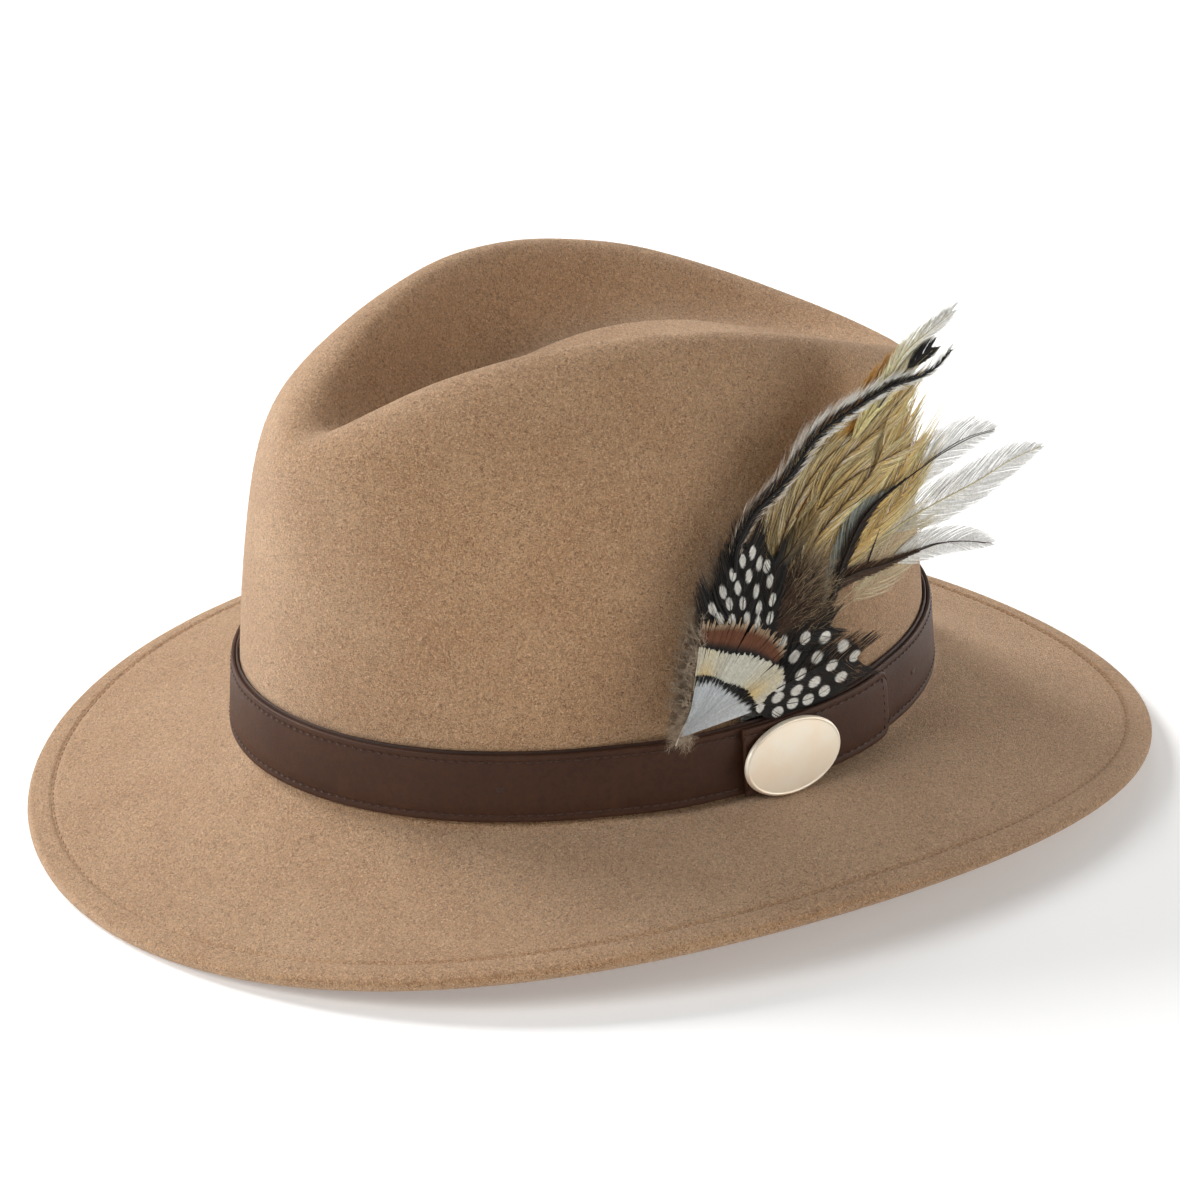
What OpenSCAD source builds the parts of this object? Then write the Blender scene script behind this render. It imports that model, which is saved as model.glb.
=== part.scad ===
// Fedora hat: wool felt body with a turned brim edge, leather band, oval badge
// and a feather brooch that is tucked behind the band. Millimetres, +Z up,
// front of the hat towards -Y, wearer's left side towards +X. The origin is on
// the surface that the brim stands on, under the middle of the brim.

/* [Crown] */
// Half width of the crown at the brim break, outside
crown_a = 86.5; // [80:0.5:92]
// Half length of the crown at the brim break, outside
crown_b = 105; // [98:0.5:110]
// Height of the brim break over the surface the hat stands on
break_z = 30; // [28:0.1:34]
// Height of the crown's ridge over that surface, at mid length
ridge_z = 153; // [142:0.5:158]
// How far the crown wall leans in, per mm of height
wall_lean = 0.055; // [0.03:0.005:0.07]
// Thickness of the felt
felt_t = 2.5; // [2:0.1:3]
// How far the crown sits in front of the middle of the brim
crown_y = -2.5; // [-4:0.5:0]

/* [Brim] */
// Half width of the brim
brim_a = 144.5; // [138:0.5:152]
// Half length of the brim
brim_b = 170; // [162:0.5:174]
// How much higher the brim edge is at the sides than at front and back
side_lift = 14.5; // [8:0.5:18]
// Thickness of the turned edge
edge_t = 4.4; // [4.2:0.1:5]
// Distance of the stitch line from the edge
stitch_in = 7.5; // [6:0.5:8]

/* [Band] */
// Height of the leather band
band_h = 20; // [17:0.5:20]
// Height of the band's lower edge over the brim break
band_lo = 1.5; // [1:0.1:1.5]
// Thickness of the outer strap
strap_t = 1.3; // [1:0.1:1.5]
// Thickness of the strap's backing
backing_t = 0.9; // [0.6:0.1:1]
// How far the band stands off the felt where the brooch is tucked in
pocket = 1.6; // [1.6:0.1:2.4]
// Length of the badge
badge_l = 34; // [28:0.5:36]
// Height of the badge
badge_h = 22.4; // [18:0.2:25]

/* [Inside] */
// Height of the sweatband
sweat_h = 36; // [30:1:40]
// Thickness of the sweatband
sweat_t = 1; // [0.8:0.1:1.2]

/* [Brooch] */
// Thickness of one layer of feathers
layer_t = 0.5; // [0.4:0.1:0.6]
// Radius of the safety pin's wire
pin_r = 0.35; // [0.3:0.05:0.4]
// Length of the safety pin's needle
needle_l = 27; // [22:1:29]

/* [Hidden] */

N = 64;                      // points round an oval
gap = 0.3;                   // air between bodies that move past each other
cone_h = 23;                 // height of the straight part of the crown wall
ts = [for (i = [0:N - 1]) -90 + i * 360 / N];

// ---- the crown's surface -------------------------------------------------
// t is the angle round the hat, 0 at +X; off is the distance outside the felt
function mix(a, b, f) = a * (1 - f) + b * f;
function smooth(f) = let (w = max(0, min(1, f))) w * w * (3 - 2 * w);
function cone(h, off, t) = [(crown_a - wall_lean * h + off) * cos(t),
    crown_y + (crown_b - wall_lean * h + off) * sin(t), break_z + h];
function ridge(t) = let (s = sin(t)) [cos(t) * (44 + 15.6 * s - 8.4 * s * s),
    crown_y + 6.3 + 100 * s, ridge_z - 14.8 * s - 30.3 * s * s + 6.7 * s * s * s];
function bez(a, b, c, d, u) = a * pow(1 - u, 3) + 3 * b * u * pow(1 - u, 2)
    + 3 * c * u * u * (1 - u) + d * pow(u, 3);
function wall(u, t) = let (s2 = pow(sin(t), 2), p0 = cone(cone_h, 0, t), r = ridge(t),
    q = (0.75 + 0.48 * s2) * (r[2] - p0[2]), e = 0.06 + 0.38 * s2,
    p1 = p0 + q * [-wall_lean * cos(t), -wall_lean * sin(t), 1],
    p2 = [mix(r[0], p1[0], e), mix(r[1], p1[1], e), r[2] - 3.6])
    bez(p0, p1, p2, r, u);
function spine_z(q) = ridge_z - 18.8 + 8.6 * q - 31.2 * q * q - 23.3 * pow(q, 3)
    + 22 * pow(q, 4);
function crease(v, t) = let (r = ridge(t), y1 = crown_y + 6 + 70 * sin(t),
    y = mix(r[1], y1, v), dip = 8 * sin(180 * min(v / 0.85, 1)) * pow(cos(t), 2))
    [mix(r[0], 5 * cos(t), v), y,
        mix(r[2], spine_z((y - crown_y) / 100), smooth(v / 0.55)) - dip];
// the wall at a height h over the break, up to the shoulder
function u_at(h, t, lo = 0, hi = 0.8, n = 14) = n == 0 ? (lo + hi) / 2
    : let (m = (lo + hi) / 2) wall(m, t)[2] < break_z + h
    ? u_at(h, t, m, hi, n - 1) : u_at(h, t, lo, m, n - 1);
function skin(h, off, t) = h <= cone_h ? cone(h, off, t)
    : wall(u_at(h, t), t) + off * [cos(t), sin(t), 0];

// ---- the brim's surface --------------------------------------------------
function rim_xy(t) = (1 - 0.01 * cos(4 * t)) * [brim_a * cos(t), brim_b * sin(t)];
function brim_len(t) = let (b = cone(0, 0, t)) norm(rim_xy(t) - [b[0], b[1]]);
function sag(t) = 1 - 2 * cos(2 * t);
// the rim's height, for an edge that stands on z = 0 at front and back
function rim_z(t) = let (q = edge_t / 2 / brim_len(t))
    (edge_t + side_lift / 2 * (1 + cos(2 * t)) - break_z * q
        + 4 * sag(t) * q * (1 - q)) / (1 - q);
function brim_w(w, t) = let (b = cone(0, 0, t), e = rim_xy(t))
    [mix(b[0], e[0], w), mix(b[1], e[1], w),
        mix(break_z, rim_z(t), w) - 4 * sag(t) * w * (1 - w)];
// a point rho mm in from the edge and drop mm under the top surface
function brim(rho, drop, t) = brim_w(1 - rho / brim_len(t), t) - [0, 0, drop];

// ---- solids from rings and from cross-sections ----------------------------
// from ring "turn" on the squares are split the other way, so that the two faces of a
// sheet are split alike and never cross
function grid_faces(m, n, wrap, turn = 1000) = [for (i = [0:m - 2 + (wrap ? 1 : 0)])
    for (j = [0:n - 1]) let (a = i * n + j, b = i * n + (j + 1) % n,
        c = ((i + 1) % m) * n + j, d = ((i + 1) % m) * n + (j + 1) % n)
    each i < turn ? [[a, c, b], [b, c, d]] : [[a, c, d], [a, d, b]]];
function zip(o, n, flip) = [for (j = [0:n / 2 - 1])
    let (a = o + j, b = o + j + 1, c = o + (n - j) % n, d = o + (n - j - 1) % n)
    each [if (j < n / 2 - 1) flip ? [a, d, b] : [a, b, d],
        if (j > 0) flip ? [a, c, d] : [a, d, c]]];
function flat(l) = [for (r = l) each r];
// rings of points, the last one joined back to the first
module ring_loft(rings) polyhedron(flat(rings),
    grid_faces(len(rings), len(rings[0]), true), convexity = 8);
// rings that close over at both ends, across the hat
module shell_loft(rings, turn) let (n = len(rings[0]), m = len(rings))
    polyhedron(flat(rings),
        concat([for (f = grid_faces(m, n, false, turn)) [f[0], f[2], f[1]]],
        zip(0, n, true), zip((m - 1) * n, n, false)), convexity = 8);
// closed cross-sections along a path, with flat ends
module sweep(secs) let (n = len(secs[0]), m = len(secs))
    polyhedron(flat(secs), concat(grid_faces(m, n, false),
        [[for (j = [0:n - 1]) j]], [[for (j = [n - 1:-1:0]) (m - 1) * n + j]]),
        convexity = 8);
// a curved strip against the crown: angles t0..t1, heights h0..h1
module strip(t0, t1, h0, h1, in, out, n) sweep([for (i = [0:n])
    let (t = t0 + (t1 - t0) * i / n, g = stand(t))
    [skin(h0, g + in, t), skin(h1, g + in, t), skin(h1, g + out, t),
        skin(h0, g + out, t)]]);
module inner_strip(t0, t1, h0, h1, in, out, n) sweep([for (i = [0:n])
    let (t = t0 + (t1 - t0) * i / n)
    [skin(h0, in, t), skin(h1, in, t), skin(h1, out, t), skin(h0, out, t)]]);

// ---- felt body -----------------------------------------------------------
crown_top = concat(
    [for (v = [1, 0.8, 0.62, 0.47, 0.33, 0.2, 0.09]) [for (t = ts) crease(v, t)]],
    [for (u = [1, 0.93, 0.85, 0.76, 0.66, 0.54, 0.42, 0.28, 0.14])
        [for (t = ts) wall(u, t)]],
    [for (h = [cone_h, 0]) [for (t = ts) cone(h, 0, t)]]);
M = len(crown_top);
// the same rings, moved in by the thickness of a layer
function unit(v) = v / max(norm(v), 0.000001);
function inward(k, j, d) = let (a = crown_top[max(k - 1, 0)][j],
    b = crown_top[min(k + 1, M - 1)][j], p = crown_top[k],
    n = unit(cross(b - a, p[(j + 1) % N] - p[(j + N - 1) % N])))
    p[j] - d * n;
function inner_ring(k, d) = [for (j = [0:N - 1]) inward(k, j, d)];
edge_r = edge_t / 2;
layer_f = (edge_t - 0.3) / 2;         // one layer of the turned edge
wire_in = 2.7;                        // the wire's distance from the edge
wire_r = 0.6;
function edge_round(a, t) = let (p = brim(edge_r, edge_r, t), q = brim(0, 0, t),
    d = unit([q[0] - p[0], q[1] - p[1], 0]))
    p + edge_r * (cos(a) * d + [0, 0, sin(a)]);
function in_fold(a, r, t) = let (p = brim(wire_in, edge_r, t), q = brim(0, 0, t),
    d = unit([q[0] - p[0], q[1] - p[1], 0]))
    p + r * (cos(a) * d + [0, 0, sin(a)]);
module felt_body() color("tan") {
    top = [for (w = [0.12, 0.28, 0.45, 0.62, 0.78]) [for (t = ts) brim_w(w, t)]];
    edge = concat([for (rho = [9, 5.5, edge_r]) [for (t = ts) brim(rho, 0, t)]],
        [for (a = [55, 20, -20, -55, -90]) [for (t = ts) edge_round(a, t)]],
        [[for (t = ts) brim(9.5, edge_t, t)],
            [for (t = ts) brim(9.5, edge_t - layer_f, t)],
            [for (t = ts) brim(wire_in + 0.95, edge_t - layer_f, t)]],
        [for (a = [-130, -50, 0, 50, 130]) [for (t = ts) in_fold(a, wire_r + 0.2, t)]],
        [[for (t = ts) brim(wire_in + 0.95, layer_f, t)],
            [for (t = ts) brim(9.8, layer_f, t)],
            [for (t = ts) brim(11, felt_t, t)]]);
    under = [for (w = [0.78, 0.62, 0.45, 0.28, 0.12])
        [for (t = ts) brim_w(w, t) - [0, 0, felt_t]]];
    // inside, the fold under the crown's ridge is rounder than outside
    inner = concat([[for (t = ts) cone(0, -felt_t, t) - [0, 0, felt_t]]],
        [for (k = [M - 2:-1:0]) if (k < 6 || k > 9) inner_ring(k, felt_t)]);
    shell_loft(concat(crown_top, top, edge, under, inner),
        M + len(top) + len(edge));
}
module brim_wire() color("silver") ring_loft([for (a = [0:60:300])
    [for (t = ts) in_fold(a, wire_r, t)]]);
module brim_stitching() color("peru") {
    ring_loft([for (p = [[0.3, -0.1], [0.3, -0.45], [-0.3, -0.45], [-0.3, -0.1]])
        [for (t = ts) brim(stitch_in - p[0], p[1], t)]]);
    ring_loft([for (p = [[0.3, 0.45], [0.3, 0.1], [-0.3, 0.1], [-0.3, 0.45]])
        [for (t = ts) brim(stitch_in - p[0], edge_t + p[1], t)]]);
}

// ---- inside the crown ----------------------------------------------------
sweat_off = -felt_t - 1.1;            // outer face of the sweatband
// the wall leans in more higher up, and what lines it steps in with it
function step_in(h) = 0.035 * max(0, h - cone_h);
module sweatband() color("saddlebrown") ring_loft(concat(
    [for (h = [-2, 10, cone_h, sweat_h - 2])
        [for (t = ts) skin(h, sweat_off - step_in(h), t)]],
    [for (h = [sweat_h - 2, cone_h, 10, -2])
        [for (t = ts) skin(h, sweat_off - sweat_t - step_in(h), t)]]));
module sweatband_reed() color("ivory") ring_loft([for (a = [0:60:300])
    [for (t = ts) cone(-3, sweat_off - 0.5 + 0.9 * cos(a), t)
        + [0, 0, 0.9 * sin(a)]]]);
module sweatband_stitching() color("wheat") let (o = sweat_off - sweat_t - 0.02)
    ring_loft([for (p = [[-0.4, -0.4], [-0.4, 0], [0.1, 0], [0.1, -0.4]])
        [for (t = ts) cone(2 + p[0], o + p[1], t)]]);
// a small flat bow at the back seam
bow_y = crown_y + crown_b + sweat_off - sweat_t - 1.7;
module bow_loop(s) polygon([for (a = [0:15:345])
    [s * (5.5 + 5 * cos(a)), (2.2 + 1.4 * cos(a)) * sin(a)]]);
module sweatband_bow() color("black") translate([0, bow_y, break_z + 12])
    rotate([90, 0, 0]) {
        linear_extrude(0.8) { bow_loop(1); bow_loop(-1); }
        translate([-1.4, -1.6, -0.6]) cube([2.8, 3.2, 0.6]);
    }
function lining_ring(h, off) = [for (t = ts) skin(h, off, t)];
function lining_off(h) = -felt_t - 0.35 - step_in(h);
module lining_side() color("darkgoldenrod") ring_loft(concat(
    [for (h = [6, cone_h, 36, 48, 60]) lining_ring(h, lining_off(h))],
    [for (h = [60, 48, 36, cone_h, 6]) lining_ring(h, lining_off(h) - 0.4)]));
// the tip lining starts above the side lining, bridges the crown's ridges and hangs
// a little way under them
tip_drop = felt_t + 4.5;
function tip_floor(k, d) = [for (p = crown_top[k]) p - [0, 0, d]];
module lining_tip() color("goldenrod") let (o = -felt_t - 3.2) shell_loft(concat(
    [for (k = [0:3]) tip_floor(k, tip_drop)],
    [for (h = [71, 62]) lining_ring(h, o)],
    [for (h = [62, 71]) lining_ring(h, o - 0.4)],
    [for (k = [3:-1:0]) tip_floor(k, tip_drop + 0.5)]), 6);
label_off = sweat_off - sweat_t - 0.25;
module size_label() color("white")
    inner_strip(103, 109, 6, 18, label_off - 0.25, label_off, 3);
module care_label() color("white")
    inner_strip(66, 74, 5, 20, label_off - 0.25, label_off, 4);

// ---- leather band --------------------------------------------------------
// how far the band stands off the felt at angle t
function stand(t) = let (d = (t + 538) % 360 - 180)
    gap + pocket * smooth((30 - abs(d)) / 15);
band_hi = band_lo + band_h;
tab_t0 = -4;
tab_t1 = 27;
joint_t = 12;                         // where the strap's ends meet
strap_in = backing_t + 0.05;
strap_out = strap_in + strap_t;
tab_in = strap_out + 0.8;
tab_out = tab_in + 1.2;
badge_t = 4;
badge_mid = 10.2;                      // height of the badge's middle
module hat_band() color([0.29, 0.2, 0.16])
    strip(joint_t + 0.2 - 360, joint_t - 0.2, band_lo, band_hi, strap_in, strap_out, 80);
module band_backing() color([0.22, 0.15, 0.12])
    strip(joint_t + 0.2 - 360, joint_t - 0.2, band_lo, band_hi + 0.6, 0, backing_t, 80);
module band_stitching() color([0.45, 0.28, 0.2]) for (h = [band_lo + 2.1, band_hi - 2])
    strip(tab_t1 + 1 - 360, tab_t0 - 1, h - 0.3, h + 0.3, strap_out + 0.12,
        strap_out + 0.45, 72);
// places things on the band: +Z of the child points away from the hat
module on_band(t, h, off) let (n = atan2(crown_a * sin(t), crown_b * cos(t)))
    translate(skin(h, stand(t) + off, t)) rotate([0, 0, n])
    rotate([0, 90 - atan(wall_lean), 0]) rotate([0, 0, 90]) children();
prong_x = 7;
module band_tab() color([0.27, 0.18, 0.14]) difference() {
    strip(tab_t0, tab_t1, band_lo, band_hi, tab_in, tab_out, 16);
    on_band(badge_t, badge_mid, tab_in - 1) for (s = [-1, 1])
        translate([s * prong_x, 0, 0]) cylinder(h = 4, r = 0.8, $fn = 24);
}
module tab_stitching() color([0.45, 0.28, 0.2]) {
    for (h = [band_lo + 2.1, band_hi - 2])
        strip(tab_t0 + 0.8, tab_t1 - 1.4, h - 0.3, h + 0.3, tab_out + 0.05,
            tab_out + 0.35, 14);
    strip(tab_t1 - 1.1, tab_t1 - 0.8, band_lo + 1.8, band_hi - 1.7, tab_out + 0.05,
        tab_out + 0.35, 1);
}
module tack_stitches() color([0.45, 0.28, 0.2]) for (t = [-42.5, 39, 128, 218])
    on_band(t, 11.5, strap_out + 0.05) translate([-1.5, -0.5, 0]) cube([3, 1, 0.4]);
function ellipse_pts(l, h) = [for (a = [0:6:354]) [l / 2 * cos(a), h / 2 * sin(a)]];
badge_off = tab_out + 0.5;
module badge() color([0.85, 0.68, 0.55]) on_band(badge_t, badge_mid, badge_off) {
    linear_extrude(1.3) polygon(ellipse_pts(badge_l, badge_h));
    translate([0, 0, 1.3]) linear_extrude(0.5)
        polygon(ellipse_pts(badge_l - 2, badge_h - 2));
}
module badge_prongs() color("silver") on_band(badge_t, badge_mid, badge_off)
    for (s = [-1, 1]) translate([s * prong_x, 0, -2.25])
        cylinder(h = 2.25, r = 0.6, $fn = 24);
module badge_washers() color("silver") on_band(badge_t, badge_mid, strap_out + 0.1)
    for (s = [-1, 1]) translate([s * prong_x, 0, 0]) difference() {
        cylinder(h = 0.35, r = 2.4, $fn = 32);
        translate([0, 0, -1]) cylinder(h = 3, r = 0.75, $fn = 24);
    }

// ---- feather brooch ------------------------------------------------------
// The brooch's plane: x runs back along the hat, y up, z away from the crown;
// z = 0 is the outer face of the stiff backing, where the feathers start.
plane_off = 3.4;
plane_lean = 8;
plane_swing = 4;
module in_plane() translate(cone(cone_h, plane_off, 0)) rotate([0, 0, plane_swing])
    rotate([0, -plane_lean, 0]) rotate([90, 0, 90]) children();
module layer(k) in_plane() translate([0, 0, k * layer_t]) linear_extrude(layer_t)
    children();
// one feather's outline: root, tip, greatest half width, bow to the left
function leaf_w(s) = pow(sin(180 * pow(s, 0.8)), 0.7) + 0.06;
function leaf_c(p, q, bow, s) = mix(p, q, s)
    + bow * sin(180 * s) * unit([p[1] - q[1], q[0] - p[0]]);
function leaf_side(p, q, w, bow, side) = [for (i = [0:9]) let (s = i / 9,
    d = leaf_c(p, q, bow, min(1, s + 0.02)) - leaf_c(p, q, bow, max(0, s - 0.02)))
    leaf_c(p, q, bow, s) + side * w * leaf_w(s) * unit([-d[1], d[0]])];
module leaf(p, q, w, bow = 0) let (l = leaf_side(p, q, w, bow, 1),
    r = leaf_side(p, q, w, bow, -1)) polygon(concat(l, [for (i = [9:-1:0]) r[i]]));

backing_n = 1.1;                      // thickness of the stiff backing
tongue_w = 10;
tongue_t = 0.6;
module brooch_backing() color("dimgray") {
    in_plane() translate([0, 0, -backing_n]) linear_extrude(backing_n)
        polygon([for (a = [0:12:348]) [15 * cos(a), 20 + 19.8 * sin(a)]]);
    tongue();
}
// the tongue that goes down behind the band, parallel to the crown wall
module tongue() translate(cone(cone_h, 0, 0)) rotate([0, -atan(wall_lean), 0]) {
    translate([0.6, -tongue_w / 2, -20]) cube([tongue_t, tongue_w, 20]);
    translate([0.6, -tongue_w / 2, -0.5]) cube([2.6, tongue_w, 0.9]);
}
module quill_binding() color("black") translate(cone(cone_h, 0, 0))
    rotate([0, -atan(wall_lean), 0]) difference() {
        translate([0.35, -tongue_w / 2 - 0.4, -16]) cube([1.1, tongue_w + 0.8, 9]);
        translate([0.55, -tongue_w / 2 - 0.05, -17]) cube([0.7, tongue_w + 0.1, 11]);
    }
// safety pin on the back of the backing: bar, rivet, needle and clasp
pin_z = -backing_n - 0.75;
pin_u = 2.2;                          // bar and needle, each side of the middle
pin_v = 5;                            // height of the rivet
module pin_bar() color("silver") in_plane() {
    translate([-pin_u, pin_v - 2.4, pin_z]) rotate([-90, 0, 0])
        cylinder(h = needle_l + 1.9, r = pin_r, $fn = 24);
    translate([-pin_u - 1, pin_v - 2.7, -backing_n - 0.6]) cube([2 * pin_u + 2.4, 1.1, 0.6]);
}
module pin_rivet() color("silver") in_plane() translate([pin_u, pin_v, -backing_n - 1.4])
    cylinder(h = 1.4, r = 0.6, $fn = 32);
module pin_needle() color("silver") in_plane() {
    translate([pin_u, pin_v, pin_z - 0.35]) difference() {
        cylinder(h = 0.7, r = 1.4, $fn = 32);
        translate([0, 0, -1]) cylinder(h = 3, r = 0.65, $fn = 32);
    }
    translate([pin_u, pin_v + 1.3, pin_z]) rotate([-90, 0, 0])
        cylinder(h = needle_l - 3.3, r = pin_r, $fn = 24);
    translate([pin_u, pin_v + needle_l - 2, pin_z]) rotate([-90, 0, 0])
        cylinder(h = 2, r1 = pin_r, r2 = 0.08, $fn = 24);
}
module pin_clasp() color("silver") in_plane()
    translate([-pin_u - 0.6, pin_v + needle_l - 3.4, -backing_n - 1.5]) difference() {
        cube([2 * pin_u + 1.5, 4, 1.5]);
        translate([1.4, -1, 0.25]) cube([10, 6, 1]);
        translate([-1, -1, 0.35]) cube([1.05, 6, 0.8]);
        translate([-0.1, -1, 0.35]) cube([1.2, 4, 0.8]);
    }
// feathers, from the layer nearest the crown outwards
module down_fringe() color("rosybrown") layer(0) for (i = [0:6]) let (a = 142 - i * 9)
    leaf([-12 + i, 2], [-12 + i, 2] + (27 + 4 * i) * [cos(a), sin(a)], 5.5, 1);
module white_plumes() color("white") layer(0) {
    leaf([22, 14], [93.4, 56.9], 4.5, 3);
    leaf([22, 12], [109.6, 46.9], 4.5, -2);
    leaf([22, 10], [88.8, 24.7], 4.5, 4);
}
module brown_hackles() color([0.3, 0.22, 0.15]) layer(1) {
    leaf([14, 12], [65, 54], 5, 3);
    leaf([10, 10], [50, 34], 8, 0);
    leaf([12, 8], [46, 20], 7, -1);
}
module golden_hackles() color("khaki") layer(2) for (i = [0:6])
    let (q = [24 + 7 * i, 68 - 5.5 * i]) leaf([3 + 2 * i, 16 - i], q, 6, 4);
module orange_hackle() color("orange") layer(3) {
    leaf([12, 26], [64, 88], 3.2, 2);
    leaf([8, 24], [40, 72], 4, 3);
}
module badger_hackle() color("black") layer(4) leaf([2, 30], [80, 83.5], 4, 15);
module pheasant_tips() color("ivory") layer(5) {
    leaf([30, 58], [86, 95.6], 3, 1.5);
    leaf([34, 56], [78, 87], 3, 1);
}
module guinea_upper() color("black") layer(6) for (q = [[-8, 42], [2, 49], [11, 40]])
    leaf([-2, 12], q, 7.5, 1);
module guinea_side() color("black") layer(7) for (q = [[22, 21], [33, 15], [35, 9]])
    leaf([-2, 8], q, 6, 1);
module rust_feather() color("sienna") layer(8) for (q = [[-15, 27], [-3, 28], [8, 21]])
    leaf([-12, 5], q, 6.5, 0);
module cream_feather() color("cornsilk") layer(9) for (q = [[-18, 24], [-6, 24], [8, 14]])
    leaf([-15, 3], q, 6.5, 0);
module grey_feather() color("lightgray") layer(10) for (q = [[-22, 15], [-14, 14], [-3, 4]])
    leaf([-26, 0.5], q, 4.5, 0);

felt_body();
brim_wire();
brim_stitching();
sweatband();
sweatband_reed();
sweatband_stitching();
sweatband_bow();
lining_side();
lining_tip();
size_label();
care_label();
hat_band();
band_backing();
band_stitching();
band_tab();
tab_stitching();
tack_stitches();
badge();
badge_prongs();
badge_washers();
brooch_backing();
quill_binding();
pin_bar();
pin_clasp();
pin_rivet();
pin_needle();
down_fringe();
white_plumes();
brown_hackles();
golden_hackles();
orange_hackle();
badger_hackle();
pheasant_tips();
guinea_upper();
guinea_side();
rust_feather();
cream_feather();
grey_feather();
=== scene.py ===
"""Looks of the fedora hat: felt, leather band, badge, lining and feather brooch.

Shapes are built in millimetres on the same surfaces as the CAD part, and written to
meshes in metres.
"""
import math

import bpy
import numpy as np
from mathutils import Matrix, Vector


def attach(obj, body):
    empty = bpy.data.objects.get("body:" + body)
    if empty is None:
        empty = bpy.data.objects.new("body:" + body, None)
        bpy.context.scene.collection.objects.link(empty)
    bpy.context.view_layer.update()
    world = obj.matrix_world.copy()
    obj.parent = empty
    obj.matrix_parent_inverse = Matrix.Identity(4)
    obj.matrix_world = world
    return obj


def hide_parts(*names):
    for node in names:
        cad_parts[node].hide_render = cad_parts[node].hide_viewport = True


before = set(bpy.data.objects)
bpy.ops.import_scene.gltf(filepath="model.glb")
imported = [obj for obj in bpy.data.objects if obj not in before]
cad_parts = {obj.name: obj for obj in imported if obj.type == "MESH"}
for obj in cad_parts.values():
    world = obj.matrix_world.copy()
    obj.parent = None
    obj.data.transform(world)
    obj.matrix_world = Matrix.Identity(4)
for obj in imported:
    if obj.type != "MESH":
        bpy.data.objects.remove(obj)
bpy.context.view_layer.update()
rng = np.random.default_rng(11)
MM = 0.001


# ---- camera ----
AIM, DISTANCE = Vector((0.00031, 0, 0.06012)), 2.5      # metres
SENSOR, FOCAL = 36.0, 8677 / 1180      # mm, and the focal length as a share of the sensor


def make_camera():
    az, el, roll = math.radians(56.17), math.radians(23.52), math.radians(-1.25)
    back = Vector((math.sin(az) * math.cos(el), -math.cos(az) * math.cos(el), math.sin(el)))
    right = Vector((math.cos(az), math.sin(az), 0))
    up = back.cross(right)
    r = right * math.cos(roll) + up * math.sin(roll)
    u = up * math.cos(roll) - right * math.sin(roll)
    cam = bpy.data.objects.new("camera", bpy.data.cameras.new("camera"))
    bpy.context.scene.collection.objects.link(cam)
    m = Matrix((r, u, back)).transposed().to_4x4()
    m.translation = AIM + back * DISTANCE
    cam.matrix_world = m
    cam.data.sensor_width = SENSOR
    cam.data.lens = SENSOR * FOCAL
    cam.data.clip_start, cam.data.clip_end = 0.05, 50
    bpy.context.scene.camera = cam


make_camera()

# ---- the hat's surfaces, as in the CAD part (millimetres, degrees) ----
CROWN_A, CROWN_B, BREAK_Z, RIDGE_Z, LEAN, FELT_T = 86.5, 105.0, 30.0, 153.0, 0.055, 2.5
CROWN_Y, BRIM_A, BRIM_B, LIFT, EDGE_T, STITCH_IN = -2.5, 144.5, 170.0, 14.5, 4.4, 7.5
CONE_H, BAND_LO, BAND_HI, GAP, POCKET = 23.0, 1.5, 21.5, 0.3, 1.6
STRAP_IN, STRAP_T = 0.95, 1.3
STRAP_OUT = STRAP_IN + STRAP_T
TAB_IN, TAB_T0, TAB_T1 = STRAP_OUT + 0.8, -4.0, 27.0
TAB_OUT = TAB_IN + 1.2
SWEAT_OFF, SWEAT_T, SWEAT_H = -FELT_T - 1.1, 1.0, 36.0


def cosd(t):
    return np.cos(np.radians(t))


def sind(t):
    return np.sin(np.radians(t))


def smooth(f):
    w = np.clip(f, 0, 1)
    return w * w * (3 - 2 * w)


def mix(a, b, f):
    return a * (1 - f) + b * f


def xyz(x, y, z):
    return np.stack(np.broadcast_arrays(x, y, z), -1).astype(float)


def unit(v):
    return v / np.maximum(np.linalg.norm(v, axis=-1, keepdims=True), 1e-9)


def cone(h, off, t):
    return xyz((CROWN_A - LEAN * h + off) * cosd(t),
               CROWN_Y + (CROWN_B - LEAN * h + off) * sind(t), BREAK_Z + h + 0 * t)


def ridge(t):
    s = sind(t)
    return xyz(cosd(t) * (44 + 15.6 * s - 8.4 * s * s), CROWN_Y + 6.3 + 100 * s,
               RIDGE_Z - 14.8 * s - 30.3 * s * s + 6.7 * s ** 3)


def wall(u, t):
    u, t = np.broadcast_arrays(np.asarray(u, float), np.asarray(t, float))
    s2 = sind(t) ** 2
    p0, r = cone(CONE_H, 0, t), ridge(t)
    q = (0.75 + 0.48 * s2) * (r[..., 2] - p0[..., 2])
    e = 0.06 + 0.38 * s2
    p1 = p0 + q[..., None] * xyz(-LEAN * cosd(t), -LEAN * sind(t), 1 + 0 * t)
    p2 = xyz(mix(r[..., 0], p1[..., 0], e), mix(r[..., 1], p1[..., 1], e), r[..., 2] - 3.6)
    u = u[..., None]
    return (p0 * (1 - u) ** 3 + 3 * p1 * u * (1 - u) ** 2 + 3 * p2 * u * u * (1 - u)
            + r * u ** 3)


def spine_z(q):
    return RIDGE_Z - 18.8 + 8.6 * q - 31.2 * q * q - 23.3 * q ** 3 + 22 * q ** 4


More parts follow.
